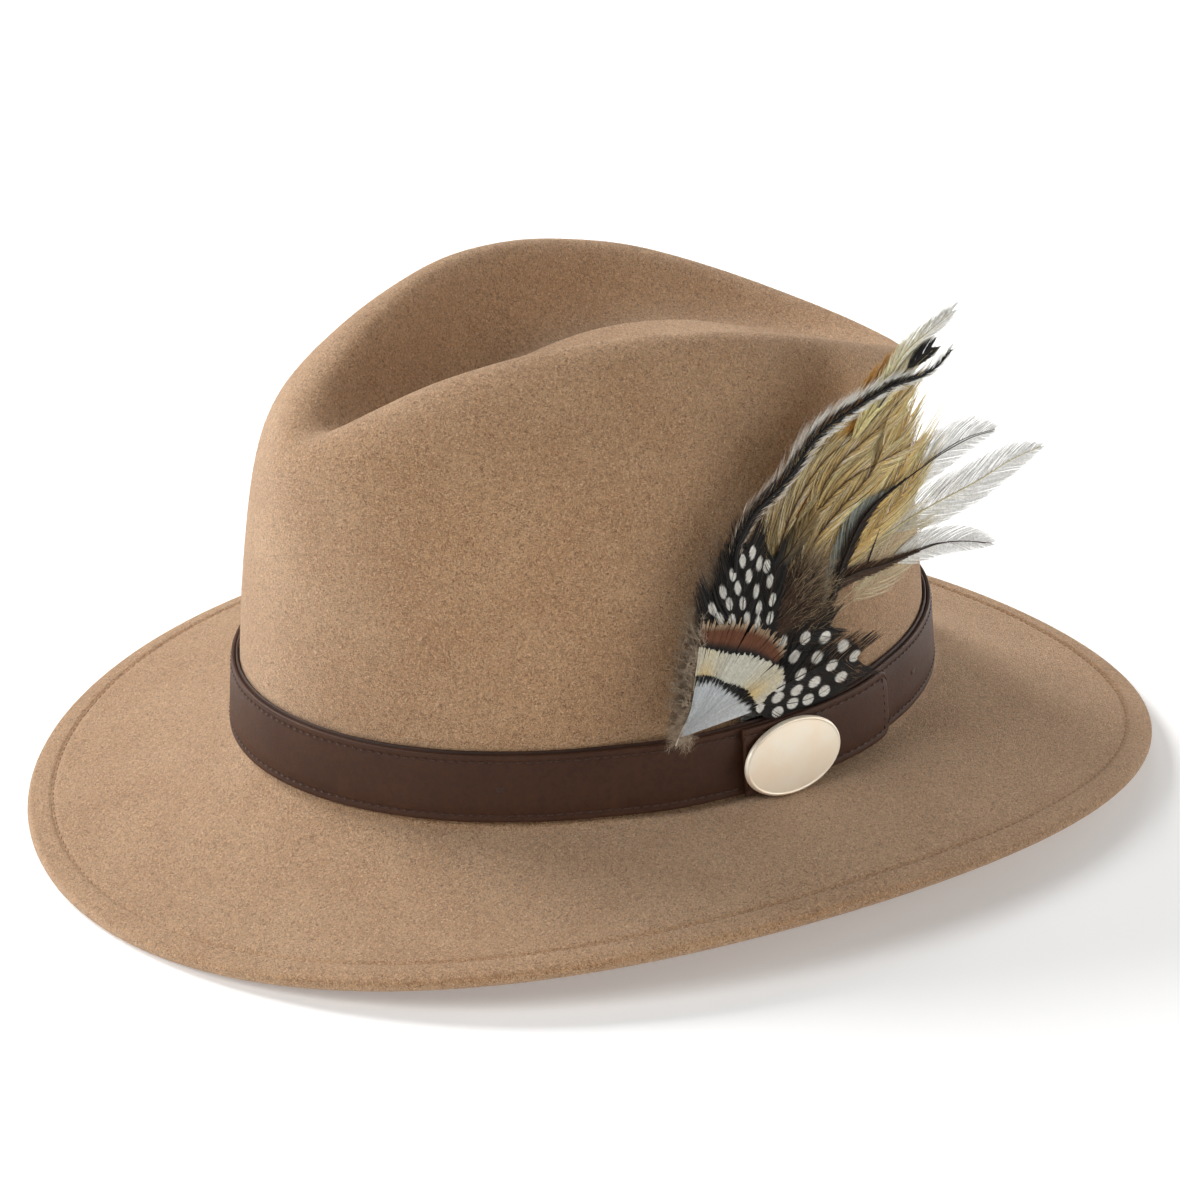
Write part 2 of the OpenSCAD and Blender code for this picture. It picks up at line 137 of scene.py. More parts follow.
def crease(v, t):
    r = ridge(t)
    y = mix(r[..., 1], CROWN_Y + 6 + 70 * sind(t), v)
    dip = 8 * sind(180 * np.minimum(v / 0.85, 1)) * cosd(t) ** 2
    return xyz(mix(r[..., 0], 5 * cosd(t), v), y,
               mix(r[..., 2], spine_z((y - CROWN_Y) / 100), smooth(v / 0.55)) - dip)


def skin(h, off, t):
    """A point at height h over the break, off mm outside the felt's outer face."""
    h, off, t = np.broadcast_arrays(*[np.asarray(a, float) for a in (h, off, t)])
    low, high = np.zeros_like(h), np.full_like(h, 0.8)
    for _ in range(16):
        m = (low + high) / 2
        under = wall(m, t)[..., 2] < BREAK_Z + h
        low, high = np.where(under, m, low), np.where(under, high, m)
    upper = wall((low + high) / 2, t) + off[..., None] * xyz(cosd(t), sind(t), 0 * t)
    return np.where((h <= CONE_H)[..., None], cone(h, off, t), upper)


def rim_xy(t):
    k = 1 - 0.01 * cosd(4 * t)
    return k * BRIM_A * cosd(t), k * BRIM_B * sind(t)


def brim_len(t):
    b, (x, y) = cone(0, 0, t), rim_xy(t)
    return np.hypot(b[..., 0] - x, b[..., 1] - y)


def sag(t):
    return 1 - 2 * cosd(2 * t)


def rim_z(t):
    q = EDGE_T / 2 / brim_len(t)
    return (EDGE_T + LIFT / 2 * (1 + cosd(2 * t)) - BREAK_Z * q
            + 4 * sag(t) * q * (1 - q)) / (1 - q)


def brim_w(w, t):
    b, (x, y) = cone(0, 0, t), rim_xy(t)
    return xyz(mix(b[..., 0], x, w), mix(b[..., 1], y, w),
               mix(BREAK_Z, rim_z(t), w) - 4 * sag(t) * w * (1 - w))


def brim(rho, drop, t):
    return brim_w(1 - rho / brim_len(t), t) - xyz(0, 0, drop)


def stand(t):
    d = (np.asarray(t) + 538) % 360 - 180
    return GAP + POCKET * smooth((30 - np.abs(d)) / 15)


# ---- mesh building ----
def new_object(name, verts_mm, faces, body, material):
    mesh = bpy.data.meshes.new(name)
    verts = (np.asarray(verts_mm, float).reshape(-1, 3) * MM).astype(np.float32)
    faces = [np.asarray(f, np.int32) for f in faces]
    total = np.concatenate([np.full(len(f), f.shape[1], np.int32) for f in faces])
    loops = np.concatenate([f.ravel() for f in faces])
    mesh.vertices.add(len(verts))
    mesh.vertices.foreach_set("co", verts.ravel())
    mesh.loops.add(len(loops))
    mesh.loops.foreach_set("vertex_index", loops)
    mesh.polygons.add(len(total))
    starts = np.concatenate([[0], np.cumsum(total)[:-1]]).astype(np.int32)
    mesh.polygons.foreach_set("loop_start", starts)
    mesh.polygons.foreach_set("use_smooth", np.full(len(total), True))
    mesh.update(calc_edges=True)
    mesh.validate()
    ob = bpy.data.objects.new(name, mesh)
    bpy.context.scene.collection.objects.link(ob)
    mesh.materials.append(material)
    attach(ob, body)
    return ob


def grid_faces(m, n, wrap_rows=False, wrap_cols=True, start=0):
    i = np.arange(m if wrap_rows else m - 1)[:, None]
    j = np.arange(n if wrap_cols else n - 1)[None, :]
    i1, j1 = (i + 1) % m, (j + 1) % n
    q = np.stack(np.broadcast_arrays(i * n + j, i1 * n + j, i1 * n + j1, i * n + j1), -1)
    return q.reshape(-1, 4) + start


def zip_faces(o, n, flip):
    """Close the ring of n points that starts at index o; flip turns the faces round."""
    j = np.arange(n // 2)
    q = np.stack([o + j, o + (n - j) % n, o + (n - j - 1) % n, o + j + 1], -1)
    quads, ends = q[1:-1], np.array([q[0][[0, 2, 3]], q[-1][:3]])
    return (quads[:, ::-1], ends[:, ::-1]) if flip else (quads, ends)


def capped(m, n):
    """Faces of m rings of n points, closed across the first and the last ring."""
    first, first_ends = zip_faces(0, n, True)
    last, last_ends = zip_faces((m - 1) * n, n, False)
    return [grid_faces(m, n), first, last, first_ends, last_ends]


def round_the_hat(count):
    return -90 + np.arange(count) * 360 / count


CAPSULE_SIDES = 6


def capsules(name, a, b, n, radius, body, slot, material):
    """Single stitches from a to b; n is up from the surface; the ends go into it."""
    a, b, n = (np.asarray(v, float) for v in (a, b, n))
    d = unit(b - a)
    side = unit(np.cross(n, d))
    up = np.cross(d, side)
    s = np.array([0.0, 0.12, 0.35, 0.65, 0.88, 1.0])
    r = radius * np.array([0.35, 0.8, 1, 1, 0.8, 0.35])
    drop = radius * np.array([1.5, 0.45, 0, 0, 0.45, 1.5])
    ang = np.linspace(0, 2 * np.pi, CAPSULE_SIDES, endpoint=False)
    c = a[:, None] + (b - a)[:, None] * s[None, :, None] - up[:, None] * drop[None, :, None]
    ring = (np.cos(ang)[None, None, :, None] * side[:, None, None]
            + np.sin(ang)[None, None, :, None] * up[:, None, None])
    v = c[:, :, None] + ring * r[None, :, None, None]
    cap = np.array([[0, 2, 1], [0, 3, 2], [0, 4, 3], [0, 5, 4]])
    caps = np.concatenate([cap, (len(s) - 1) * CAPSULE_SIDES + cap[:, ::-1]])
    first = (np.arange(len(a)) * len(s) * CAPSULE_SIDES)[:, None, None]
    faces = [(first + grid_faces(len(s), CAPSULE_SIDES)[None]).reshape(-1, 4),
             (first + caps[None]).reshape(-1, 3)]
    return new_object(name, v, faces, body, material)


def even(place, count, t0=-90.0, t1=270.0):
    """count angles at equal distances along a curve round the hat."""
    t = np.linspace(t0, t1, 1441)
    p = place(t)
    d = np.concatenate([[0], np.cumsum(np.linalg.norm(np.diff(p, axis=0), axis=1))])
    return np.interp(np.linspace(0, d[-1], count, endpoint=False) + d[-1] / count / 2, d, t), d[-1]


# ---- materials ----
def linear(rgb):
    c = np.asarray(rgb, float) / 255
    return tuple(np.where(c <= 0.04045, c / 12.92, ((c + 0.055) / 1.055) ** 2.4)) + (1.0,)


class Nodes:
    """A material's node tree, written as short calls."""

    def __init__(self, name, **principled):
        self.material = bpy.data.materials.new(name)
        self.material.use_nodes = True
        self.tree = self.material.node_tree
        self.bsdf = self.tree.nodes["Principled BSDF"]
        self.place = self.add("ShaderNodeTexCoord").outputs["Object"]
        self.set(self.bsdf, principled)

    def add(self, kind, values=None, **props):
        node = self.tree.nodes.new(kind)
        for k, v in props.items():
            setattr(node, k, v)
        self.set(node, values or {})
        return node

    def set(self, node, values):
        for k, v in values.items():
            if isinstance(v, bpy.types.NodeSocket):
                self.tree.links.new(v, node.inputs[k])
            else:
                node.inputs[k].default_value = v

    def noise(self, scale, detail=2.0, rough=0.5, vector=None, distort=0.0):
        n = self.add("ShaderNodeTexNoise", {"Scale": scale, "Detail": detail, "Roughness": rough,
                                            "Distortion": distort,
                                            "Vector": vector or self.place})
        return n.outputs["Fac"]

    def stretched(self, x, y, z):
        return self.add("ShaderNodeMapping", {"Vector": self.place, "Scale": (x, y, z)}).outputs[0]

    def ramp(self, fac, low, high):
        r = self.add("ShaderNodeValToRGB", {"Fac": fac})
        e = r.color_ramp.elements
        e[0].position, e[0].color = low
        e[1].position, e[1].color = high
        return r.outputs["Color"]

    def blend(self, a, b, fac, kind="MIX"):
        m = self.add("ShaderNodeMix", {0: fac, 6: a, 7: b}, data_type="RGBA", blend_type=kind)
        return m.outputs[2]

    def math(self, kind, a, b):
        return self.add("ShaderNodeMath", {0: a, 1: b}, operation=kind).outputs[0]

    def scale_to(self, fac, low, high, a=0.3, b=0.7):
        m = self.add("ShaderNodeMapRange", {"Value": fac, "From Min": a, "From Max": b,
                                            "To Min": low, "To Max": high})
        return m.outputs[0]

    def colour(self, socket):
        self.set(self.bsdf, {"Base Color": socket})

    def bump(self, height, strength, distance):
        b = self.add("ShaderNodeBump", {"Height": height, "Strength": strength,
                                        "Distance": distance})
        self.set(self.bsdf, {"Normal": b.outputs[0]})


def grey(v):
    return (v, v, v, 1.0)


def felt_material(name, base, light, dark):
    n = Nodes(name, **{"Roughness": 0.95, "Specular IOR Level": 0.12, "Sheen Weight": 0.45,
                       "Sheen Roughness": 0.5, "Sheen Tint": (1.0, 0.98, 0.9, 1)})
    mottle = n.noise(38, 3, 0.6)
    fibre = n.noise(950, 3, 0.7, distort=2.0)
    fine = n.noise(1900, 3, 0.7, distort=1.5)
    c = n.blend(linear(base), linear(light), n.scale_to(mottle, 0, 0.3, 0.35, 0.7))
    c = n.blend(c, linear(dark), n.scale_to(fibre, 1.0, 0, 0.38, 0.52))
    c = n.blend(c, linear(light), n.scale_to(fine, 0, 1.0, 0.5, 0.62))
    n.colour(c)
    h = n.math("ADD", fibre, n.math("MULTIPLY", fine, 0.6))
    n.bump(h, 0.85, 0.0012)
    return n.material


def leather_material(name, base, light, dark, rough=0.5, grain=1500.0, depth=0.00025):
    n = Nodes(name, **{"Specular IOR Level": 0.22, "Coat Weight": 0.02, "Coat Roughness": 0.35})
    cloudy = n.noise(60, 4, 0.6)
    pores = n.add("ShaderNodeTexVoronoi", {"Vector": n.place, "Scale": grain},
                  feature="DISTANCE_TO_EDGE").outputs["Distance"]
    wrinkle = n.noise(grain * 0.35, 5, 0.65, distort=0.6)
    c = n.blend(linear(base), linear(light), n.scale_to(cloudy, 0, 0.6))
    c = n.blend(c, linear(dark), n.scale_to(wrinkle, 0.5, 0, 0.3, 0.6))
    n.colour(c)
    n.set(n.bsdf, {"Roughness": n.scale_to(wrinkle, rough - 0.06, rough + 0.1)})
    h = n.math("ADD", n.math("MULTIPLY", pores, 0.8), wrinkle)
    n.bump(h, 0.35, depth)
    return n.material


def thread_material(name, base, light):
    n = Nodes(name, **{"Roughness": 0.7, "Specular IOR Level": 0.25, "Sheen Weight": 0.2})
    ply = n.noise(3500, 3, 0.6, distort=2.0)
    n.colour(n.blend(linear(base), linear(light), n.scale_to(ply, 0, 1)))
    n.bump(ply, 0.6, 0.0002)
    return n.material


def metal_material(name, base, light, rough=0.22, brush=(400, 3000, 3000), metallic=1.0):
    n = Nodes(name, **{"Metallic": metallic})
    lines = n.noise(1.0, 3, 0.6, vector=n.stretched(*brush))
    cloud = n.noise(120, 3, 0.5)
    n.colour(n.blend(linear(base), linear(light), n.scale_to(cloud, 0, 1)))
    n.set(n.bsdf, {"Roughness": n.scale_to(lines, rough - 0.04, rough + 0.08)})
    n.bump(lines, 0.08, 0.00005)
    return n.material


def weave_material(name, base, light, scale=2200.0, sheen=0.3, rough=0.6):
    n = Nodes(name, **{"Roughness": rough, "Specular IOR Level": 0.3, "Sheen Weight": sheen})
    warp = n.noise(1.0, 2, 0.5, vector=n.stretched(scale, scale, scale * 0.12))
    weft = n.noise(1.0, 2, 0.5, vector=n.stretched(scale * 0.12, scale * 0.12, scale))
    h = n.math("ADD", warp, weft)
    n.colour(n.blend(linear(base), linear(light), n.scale_to(h, 0, 1, 0.7, 1.3)))
    n.bump(h, 0.4, 0.0002)
    return n.material


def feather_material(name, rough=0.6, sheen=0.04):
    n = Nodes(name, **{"Roughness": rough, "Specular IOR Level": 0.2, "Sheen Weight": sheen})
    tint = n.add("ShaderNodeAttribute", attribute_name="Col").outputs["Color"]
    streak = n.noise(1400, 3, 0.6)
    light = n.ramp(streak, (0.3, grey(0.72)), (0.7, grey(1.0)))
    n.colour(n.blend(tint, light, 1.0, "MULTIPLY"))
    return n.material


FELT = felt_material("felt_wool", (190, 141, 97), (238, 199, 156), (130, 88, 55))
FELT_THREAD = thread_material("thread_tan", (150, 112, 78), (186, 148, 112))
BAND = leather_material("leather_dark", (66, 40, 26), (82, 52, 34), (44, 26, 17), 0.52)
BAND_EDGE = leather_material("leather_edge", (58, 39, 30), (74, 50, 39), (38, 25, 20), 0.6)
BAND_THREAD = thread_material("thread_brown", (44, 28, 21), (84, 56, 42))
SWEAT = leather_material("leather_sweatband", (108, 70, 44), (132, 90, 60), (84, 52, 32), 0.45,
                         1100)
BADGE = metal_material("rose_gold", (254, 236, 212), (255, 246, 228), 0.5, (350, 350, 350), 0.55)
STEEL = metal_material("nickel", (178, 178, 182), (200, 200, 204), 0.25)
SATIN = weave_material("satin_lining", (188, 160, 118), (206, 180, 140), 2600, 0.4, 0.35)
RIBBON = weave_material("ribbon_black", (22, 20, 20), (44, 41, 40), 2000, 0.3, 0.5)
LABEL = weave_material("label_weave", (226, 222, 210), (242, 240, 232), 1800, 0.2, 0.8)
REED = weave_material("reed_cord", (205, 192, 165), (224, 214, 190), 1500, 0.2, 0.7)
BACKING = felt_material("felt_backing", (34, 30, 27), (58, 52, 47), (18, 16, 14))
FEATHER = feather_material("feather")
PLUME = feather_material("feather_plume", 0.55, 0.1)


# ---- felt body ----
N = 480      # points round the felt and the linings
T = round_the_hat(N)
NEAR_BAND = 3.2      # mm: where the crown turns into the brim


def soft_dents(p):
    """The slight unevenness of hand-blocked felt, in mm."""
    x, y, z = p[..., 0] / 40, p[..., 1] / 40, p[..., 2] / 40
    return 0.22 * (np.sin(1.7 * x + 2.3 * y + 0.4) * np.sin(1.3 * z + 1.1 * x)
                   + np.sin(2.9 * y - 1.9 * z + 1.3) * np.sin(2.1 * x + 0.7)) \
        + 0.10 * np.sin(5.1 * x + 3.7 * y + 2.2 * z) * np.sin(4.3 * y - 3.1 * x + 0.9)


def surface_normals(p):
    du = np.gradient(p, axis=0)
    dt = np.roll(p, -1, axis=1) - np.roll(p, 1, axis=1)
    return unit(np.cross(du, dt))


def round_ridge(p, k, sigma):
    """Round the fold at ring k over sigma mm (one value for each column), keeping its crest."""
    step = np.linalg.norm(np.diff(p, axis=0), axis=2)
    d = np.concatenate([np.zeros((1, p.shape[1])), step.cumsum(0)])
    d = d - d[k]
    offs = np.linspace(-2.6, 2.6, 21)
    w = np.exp(-offs ** 2 / 2)
    w /= w.sum()
    out = p.copy()
    for j in range(p.shape[1]):
        x = d[:, j][:, None] + offs[None] * sigma[j]
        soft = np.stack([(np.interp(x, d[:, j], p[:, j, c]) * w).sum(1) for c in range(3)], -1)
        fade = np.exp(-(d[:, j] / (4.5 * sigma[j])) ** 4)
        out[:, j] = mix(p[:, j], soft, fade[:, None])
    lift = p[k] - out[k]
    return out + lift[None] * np.exp(-(d / (2.2 * sigma)) ** 2)[..., None]


def make_felt():
    crown = [crease(1, T) * [f, 1, 1] for f in (0.3, 0.65)]
    crown += [crease(v, T) for v in np.linspace(1, 0, 40)[:-1]]
    ridge_ring = len(crown)
    crown += [wall(u, T) for u in 1 - np.linspace(0, 1, 56)[:-1] ** 1.25]
    crown += [cone(h, 0, T) for h in np.linspace(CONE_H, NEAR_BAND, 9)]
    a, b = cone(NEAR_BAND, 0, T), brim_w(NEAR_BAND / brim_len(T), T)
    corner = cone(0, 0, T)
    for s in (0.2, 0.4, 0.6, 0.8):
        crown.append(a * (1 - s) ** 2 + corner * 2 * s * (1 - s) + b * s * s)
    front = smooth((-sind(T) - 0.1) / 0.8)
    crown = round_ridge(np.array(crown), ridge_ring, 6.5 + 3.0 * front)
    # the brim: a shallow groove under the stitches and a slightly fuller turned edge
    rho = np.linspace(1, 0.3, 24)[:, None] * (brim_len(T)[None] - NEAR_BAND)
    tail = np.array([13, 11.5, 10.4, 9.6, 9.0, 8.5, 8.1, 7.8, 7.5, 7.2, 6.9, 6.5, 6.0, 5.2,
                     4.2, 3.2, 2.6, EDGE_T / 2])
    rho = np.concatenate([rho, np.repeat(tail[:, None], N, 1)])
    groove = -0.55 * np.exp(-((rho - STITCH_IN) / 0.75) ** 2) \
        + 0.30 * smooth((STITCH_IN + 0.4 - rho) / 1.5) * smooth((rho - 1.0) / 2.5)
    top = brim_w(1 - rho / brim_len(T), np.broadcast_to(T, rho.shape))
    top[..., 2] += groove
    p, q = brim(EDGE_T / 2, EDGE_T / 2, T), brim(0, 0, T)
    d = unit((q - p) * [1, 1, 0])
    edge = [p + EDGE_T / 2 * (cosd(a) * d + [0, 0, sind(a)])
            for a in (72, 54, 36, 18, 0, -18, -36, -54, -72, -90)]
    under = [brim(r, EDGE_T, T) for r in (4.5, 6.6)]
    under += [brim(7.5, EDGE_T - 0.45, T), brim(8.4, EDGE_T, T), brim(9.6, EDGE_T, T),
              brim(9.95, EDGE_T - 0.25, T), brim(10.1, EDGE_T - 0.9, T),
              brim(10.2, FELT_T + 0.15, T), brim(10.7, FELT_T, T), brim(12, FELT_T, T)]
    under += [brim_w(1 - f, T) - [0, 0, FELT_T] for f in np.linspace(0.3, 0.94, 14)]
    outer = np.concatenate([crown, top])
    amount = soft_dents(outer)
    rows = np.arange(len(outer))[:, None]
    over_band = smooth((outer[..., 2] - BREAK_Z - CONE_H) / 15)
    amount = amount * np.where(rows < len(crown), over_band, 0) \
        + 0.35 * amount * np.where(rows >= len(crown), smooth((rows - len(crown)) / 6), 0)
    outer = outer + surface_normals(outer) * amount[..., None]
    inner = (crown - FELT_T * surface_normals(crown))[::-1][5::2]
    inner = np.concatenate([cone(0, -FELT_T, T)[None] - [0, 0, FELT_T], inner])
    rings = np.concatenate([outer, np.array(edge), np.array(under), inner])
    ob = new_object("felt_hat_body", rings, capped(len(rings), N), "hat", FELT)
    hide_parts("felt_body")
    return np.concatenate([outer, np.array(edge)])


NAP_FIBRES = 110000


def make_nap(p, count=NAP_FIBRES):
    """Short fibres that stand off the outer face; none under the band."""
    a, b, c = p[:-1], p[1:], np.roll(p, -1, axis=1)[:-1]
    area = np.linalg.norm(np.cross(b - a, c - a), axis=-1)
    h = a[..., 2] - BREAK_Z
    on_crown = np.hypot(a[..., 0] / 88, (a[..., 1] - CROWN_Y) / 107) < 1
    area = np.where(on_crown & (h > -1) & (h < BAND_HI + 1.5), 0, area)
    pick = rng.choice(area.size, count, p=(area / area.sum()).ravel())
    i, j = np.unravel_index(pick, area.shape)
    f, g = rng.random((2, count, 1))
    root = a[i, j] + (b - a)[i, j] * f + (c - a)[i, j] * g
    n = unit(np.cross((b - a)[i, j], (c - a)[i, j]))
    t1 = unit((b - a)[i, j])
    t2 = np.cross(n, t1)
    w = rng.uniform(0, 2 * np.pi, (count, 1))
    lean = t1 * np.cos(w) + t2 * np.sin(w)
    side = t2 * np.cos(w) - t1 * np.sin(w)
    length = rng.uniform(0.35, 1.25, (count, 1))
    rise = rng.uniform(0.1, 0.6, (count, 1))
    tip = root + length * (lean * np.sqrt(1 - rise ** 2) + n * rise)
    half = rng.uniform(0.03, 0.055, (count, 1))
    base = root - 0.05 * n
    v = np.stack([base - side * half, base + side * half, tip], 1)
    new_object("felt_nap_fibres", v, [np.arange(count * 3).reshape(-1, 3)], "hat", FELT)


make_nap(make_felt())


def finish_cad(node, material):
    """Give a CAD node that stays in view its finish."""
    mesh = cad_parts[node].data
    mesh.materials.clear()
    mesh.materials.append(material)


finish_cad("brim_wire", STEEL)
STITCH_HALF = 0.36      # half a stitch's length, as a share of the stitch spacing
BRIM_STITCHES, SWEAT_STITCHES = 330, 230


def brim_stitches():
    t, length = even(lambda a: brim(STITCH_IN, 0, a), BRIM_STITCHES)
    half = STITCH_HALF * length / BRIM_STITCHES
    a, b = [], []
    scale = 180 / np.pi / np.hypot(136 * sind(t), 161 * cosd(t))
    for drop in (0.50, EDGE_T - 0.55):
        a.append(brim(STITCH_IN, drop, t - half * scale))
        b.append(brim(STITCH_IN, drop, t + half * scale))
    up = np.repeat([[0, 0, 1.0], [0, 0, -1.0]], BRIM_STITCHES, 0)
    ob = capsules("brim_edge_stitches", np.concatenate(a), np.concatenate(b), up, 0.28, "hat",
                  "felt_thread", FELT_THREAD)
    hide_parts("brim_stitching")


brim_stitches()

# ---- leather band ----
ROW_LO, ROW_HI = BAND_LO + 2.1, BAND_HI - 2.0


def leather_section(inside, outside, low, high, r=0.35):
    """Outline of a strap: rounded corners and a shallow groove under each stitch row."""
    pts = [(low + r, inside), (mix(low, high, 0.5), inside), (high - r, inside),
           (high, inside + r), (high, outside - r), (high - 0.3 * r, outside - 0.3 * r),
           (high - r, outside)]
    for row in (ROW_HI, ROW_LO):
        pts += [(row + 0.8, outside + 0.03), (row + 0.35, outside - 0.10),
                (row, outside - 0.17), (row - 0.35, outside - 0.10), (row - 0.8, outside + 0.03)]
        if row == ROW_HI:
            pts += [(mix(low, high, f), outside + 0.10) for f in (0.75, 0.6, 0.45, 0.3)]
    pts += [(low + r, outside), (low + 0.3 * r, outside - 0.3 * r), (low, outside - r),
            (low, inside + r)]
    return pts


def strap(name, section, t0, t1, count, node, material, round_end=0.0):
    """A strap round the band from angle t0 to t1; round_end degrees of it narrow at t1."""
    t = np.linspace(t0, t1, count)
    wave = 0.12 * (np.sin(np.radians(t * 7)) + 0.6 * np.sin(np.radians(t * 17) + 1))
    rings = []
    for h, off in section:
        hh = np.full_like(t, h)
        if round_end:
            mid_h = (BAND_LO + BAND_HI) / 2
            end = np.clip((t - (t1 - round_end)) / round_end, 0, 1)
            hh = mid_h + (hh - mid_h) * np.sqrt(np.clip(1 - end ** 4 * 0.36, 0, 1))
        rings.append(skin(hh + wave * 0.25, stand(t) + off, t))
    rings = np.array(rings).transpose(1, 0, 2)
    m, n = rings.shape[:2]
    verts = np.concatenate([rings.reshape(-1, 3), [rings[0].mean(0), rings[-1].mean(0)]])
    j = np.arange(n)
    after = (j + 1) % n
    faces = [grid_faces(m, n), np.stack([np.full(n, m * n), j, after], -1),
             np.stack([np.full(n, m * n + 1), (m - 1) * n + after, (m - 1) * n + j], -1)]
    ob = new_object(name, verts, faces, "hat", material)
    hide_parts(node)


JOINT = 12.0      # degrees: where the strap's two ends meet, under the tab
strap("band_strap", leather_section(STRAP_IN, STRAP_OUT, BAND_LO, BAND_HI), JOINT + 0.2 - 360,
      JOINT - 0.2, 520, "hat_band", BAND)
strap("band_backing_strip",
      [(BAND_LO + 0.1, 0.05), (BAND_HI + 0.3, 0.05), (BAND_HI + 0.6, 0.3), (BAND_HI + 0.6, 0.62),
       (BAND_HI + 0.35, 0.88), (BAND_LO + 0.2, 0.88), (BAND_LO + 0.05, 0.6)],
      JOINT + 0.2 - 360, JOINT - 0.2, 420, "band_backing", BAND_EDGE)
strap("band_overlap_tab", leather_section(TAB_IN, TAB_OUT, BAND_LO, BAND_HI), TAB_T0, TAB_T1, 90,
      "band_tab", BAND, round_end=3.0)


def band_place(h, off):
    return lambda t: skin(h, stand(t) + off, t)


def outward(t):
    return unit(xyz(CROWN_B * cosd(t), CROWN_A * sind(t), LEAN * 100 + 0 * t))


def row_stitches(h, off, t0, t1, count):
    place = band_place(h, off)
    t, _ = even(place, count, t0, t1)
    half = (t1 - t0) / count * STITCH_HALF
    return place(t - half), place(t + half), outward(t)


def join_rows(rows):
    return [np.concatenate(x) for x in zip(*rows)]


rows = [row_stitches(h, STRAP_OUT + 0.02, TAB_T1 + 0.5 - 360, TAB_T0 - 0.5, 205)
        for h in (ROW_LO, ROW_HI)]
band_rows = capsules("band_stitches", *join_rows(rows), 0.26, "hat", "band_thread", BAND_THREAD)
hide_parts("band_stitching")


def tab_stitches():
    rows = [row_stitches(h, TAB_OUT + 0.02, TAB_T0 + 0.8, TAB_T1 - 1.6, 17)
            for h in (ROW_LO + 0.1, ROW_HI - 0.1)]
    hs = np.linspace(ROW_LO + 0.9, ROW_HI - 0.9, 7)
    t_end = TAB_T1 - 1.15 - 0.25 * ((hs - hs.mean()) / 7) ** 2
    step = (hs[1] - hs[0]) * STITCH_HALF
    ends = (skin(hs - step, stand(t_end) + TAB_OUT + 0.06, t_end),
            skin(hs + step, stand(t_end) + TAB_OUT + 0.06, t_end), outward(t_end))
    ob = capsules("tab_stitches", *join_rows(rows + [ends]), 0.26, "hat", "band_thread",
                  BAND_THREAD)
    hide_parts("tab_stitching")


tab_stitches()


TACK_H = 11.5      # height of the bar tacks over the break


def tacks():
    a, b, n = [], [], []
    for t0 in (-42.5, 39.0, 128.0, 218.0):
        for k, dh in enumerate((-0.45, 0.0, 0.45)):
            dt = 1.0 + 0.12 * k
            a.append(band_place(TACK_H + dh, STRAP_OUT + 0.12)(np.array([t0 - dt])))
            b.append(band_place(TACK_H + dh * 0.7, STRAP_OUT + 0.12)(np.array([t0 + dt])))
            n.append(outward(np.array([t0])))
    ob = capsules("bar_tacks", np.concatenate(a), np.concatenate(b), np.concatenate(n), 0.3,
                  "hat", "band_thread", BAND_THREAD)
    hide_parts("tack_stitches")


tacks()


# ---- badge ----
def badge_frame():
    """The badge's middle on the band, and its axes along, up and out."""
    t = 4.0
    n = math.atan2(CROWN_A * sind(t), CROWN_B * cosd(t))
    lean = math.atan(LEAN)
    z = np.array([math.cos(n) * math.cos(lean), math.sin(n) * math.cos(lean), math.sin(lean)])
    x = np.array([-math.sin(n), math.cos(n), 0])
    o = skin(np.array(10.2), stand(t) + TAB_OUT + 0.5, np.array(t))
    return o, x, np.cross(z, x), z


def make_badge():
    o, x, y, z = badge_frame()
    a = np.linspace(0, 2 * np.pi, 144, endpoint=False)
    half_l, half_h = 17, 11.2
    profile = [(-0.9, 0.0), (-0.25, 0.0), (0.0, 0.18), (0.0, 0.62), (-0.06, 0.85), (-0.22, 1.20),
               (-0.40, 1.42), (-0.62, 1.52), (-0.80, 1.50), (-0.92, 1.42), (-1.04, 1.40),
               (-1.30, 1.42)]
    sizes = [(half_l + inset, half_h + inset, height) for inset, height in profile]
    sizes += [(15.7 * f, 9.9 * f, 1.42 + 0.38 * (1 - f * f)) for f in np.linspace(0.96, 0.01, 14)]
    rings = []
    for rx, ry, height in sizes:
        rings.append(o + x * (rx * np.cos(a))[:, None] + y * (ry * np.sin(a))[:, None]
                     + z * height)
    rings = np.array(rings)
    ob = new_object("oval_badge", rings, capped(*rings.shape[:2]), "hat", BADGE)
    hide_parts("badge")


make_badge()
finish_cad("badge_prongs", BADGE)
for cad in ("badge_washers", "pin_bar", "pin_clasp", "pin_rivet", "pin_needle"):
    finish_cad(cad, STEEL)


# ---- inside the crown ----
def step_in(h):
    return 0.035 * np.maximum(0, h - CONE_H)


RING = 384      # points round the sweatband


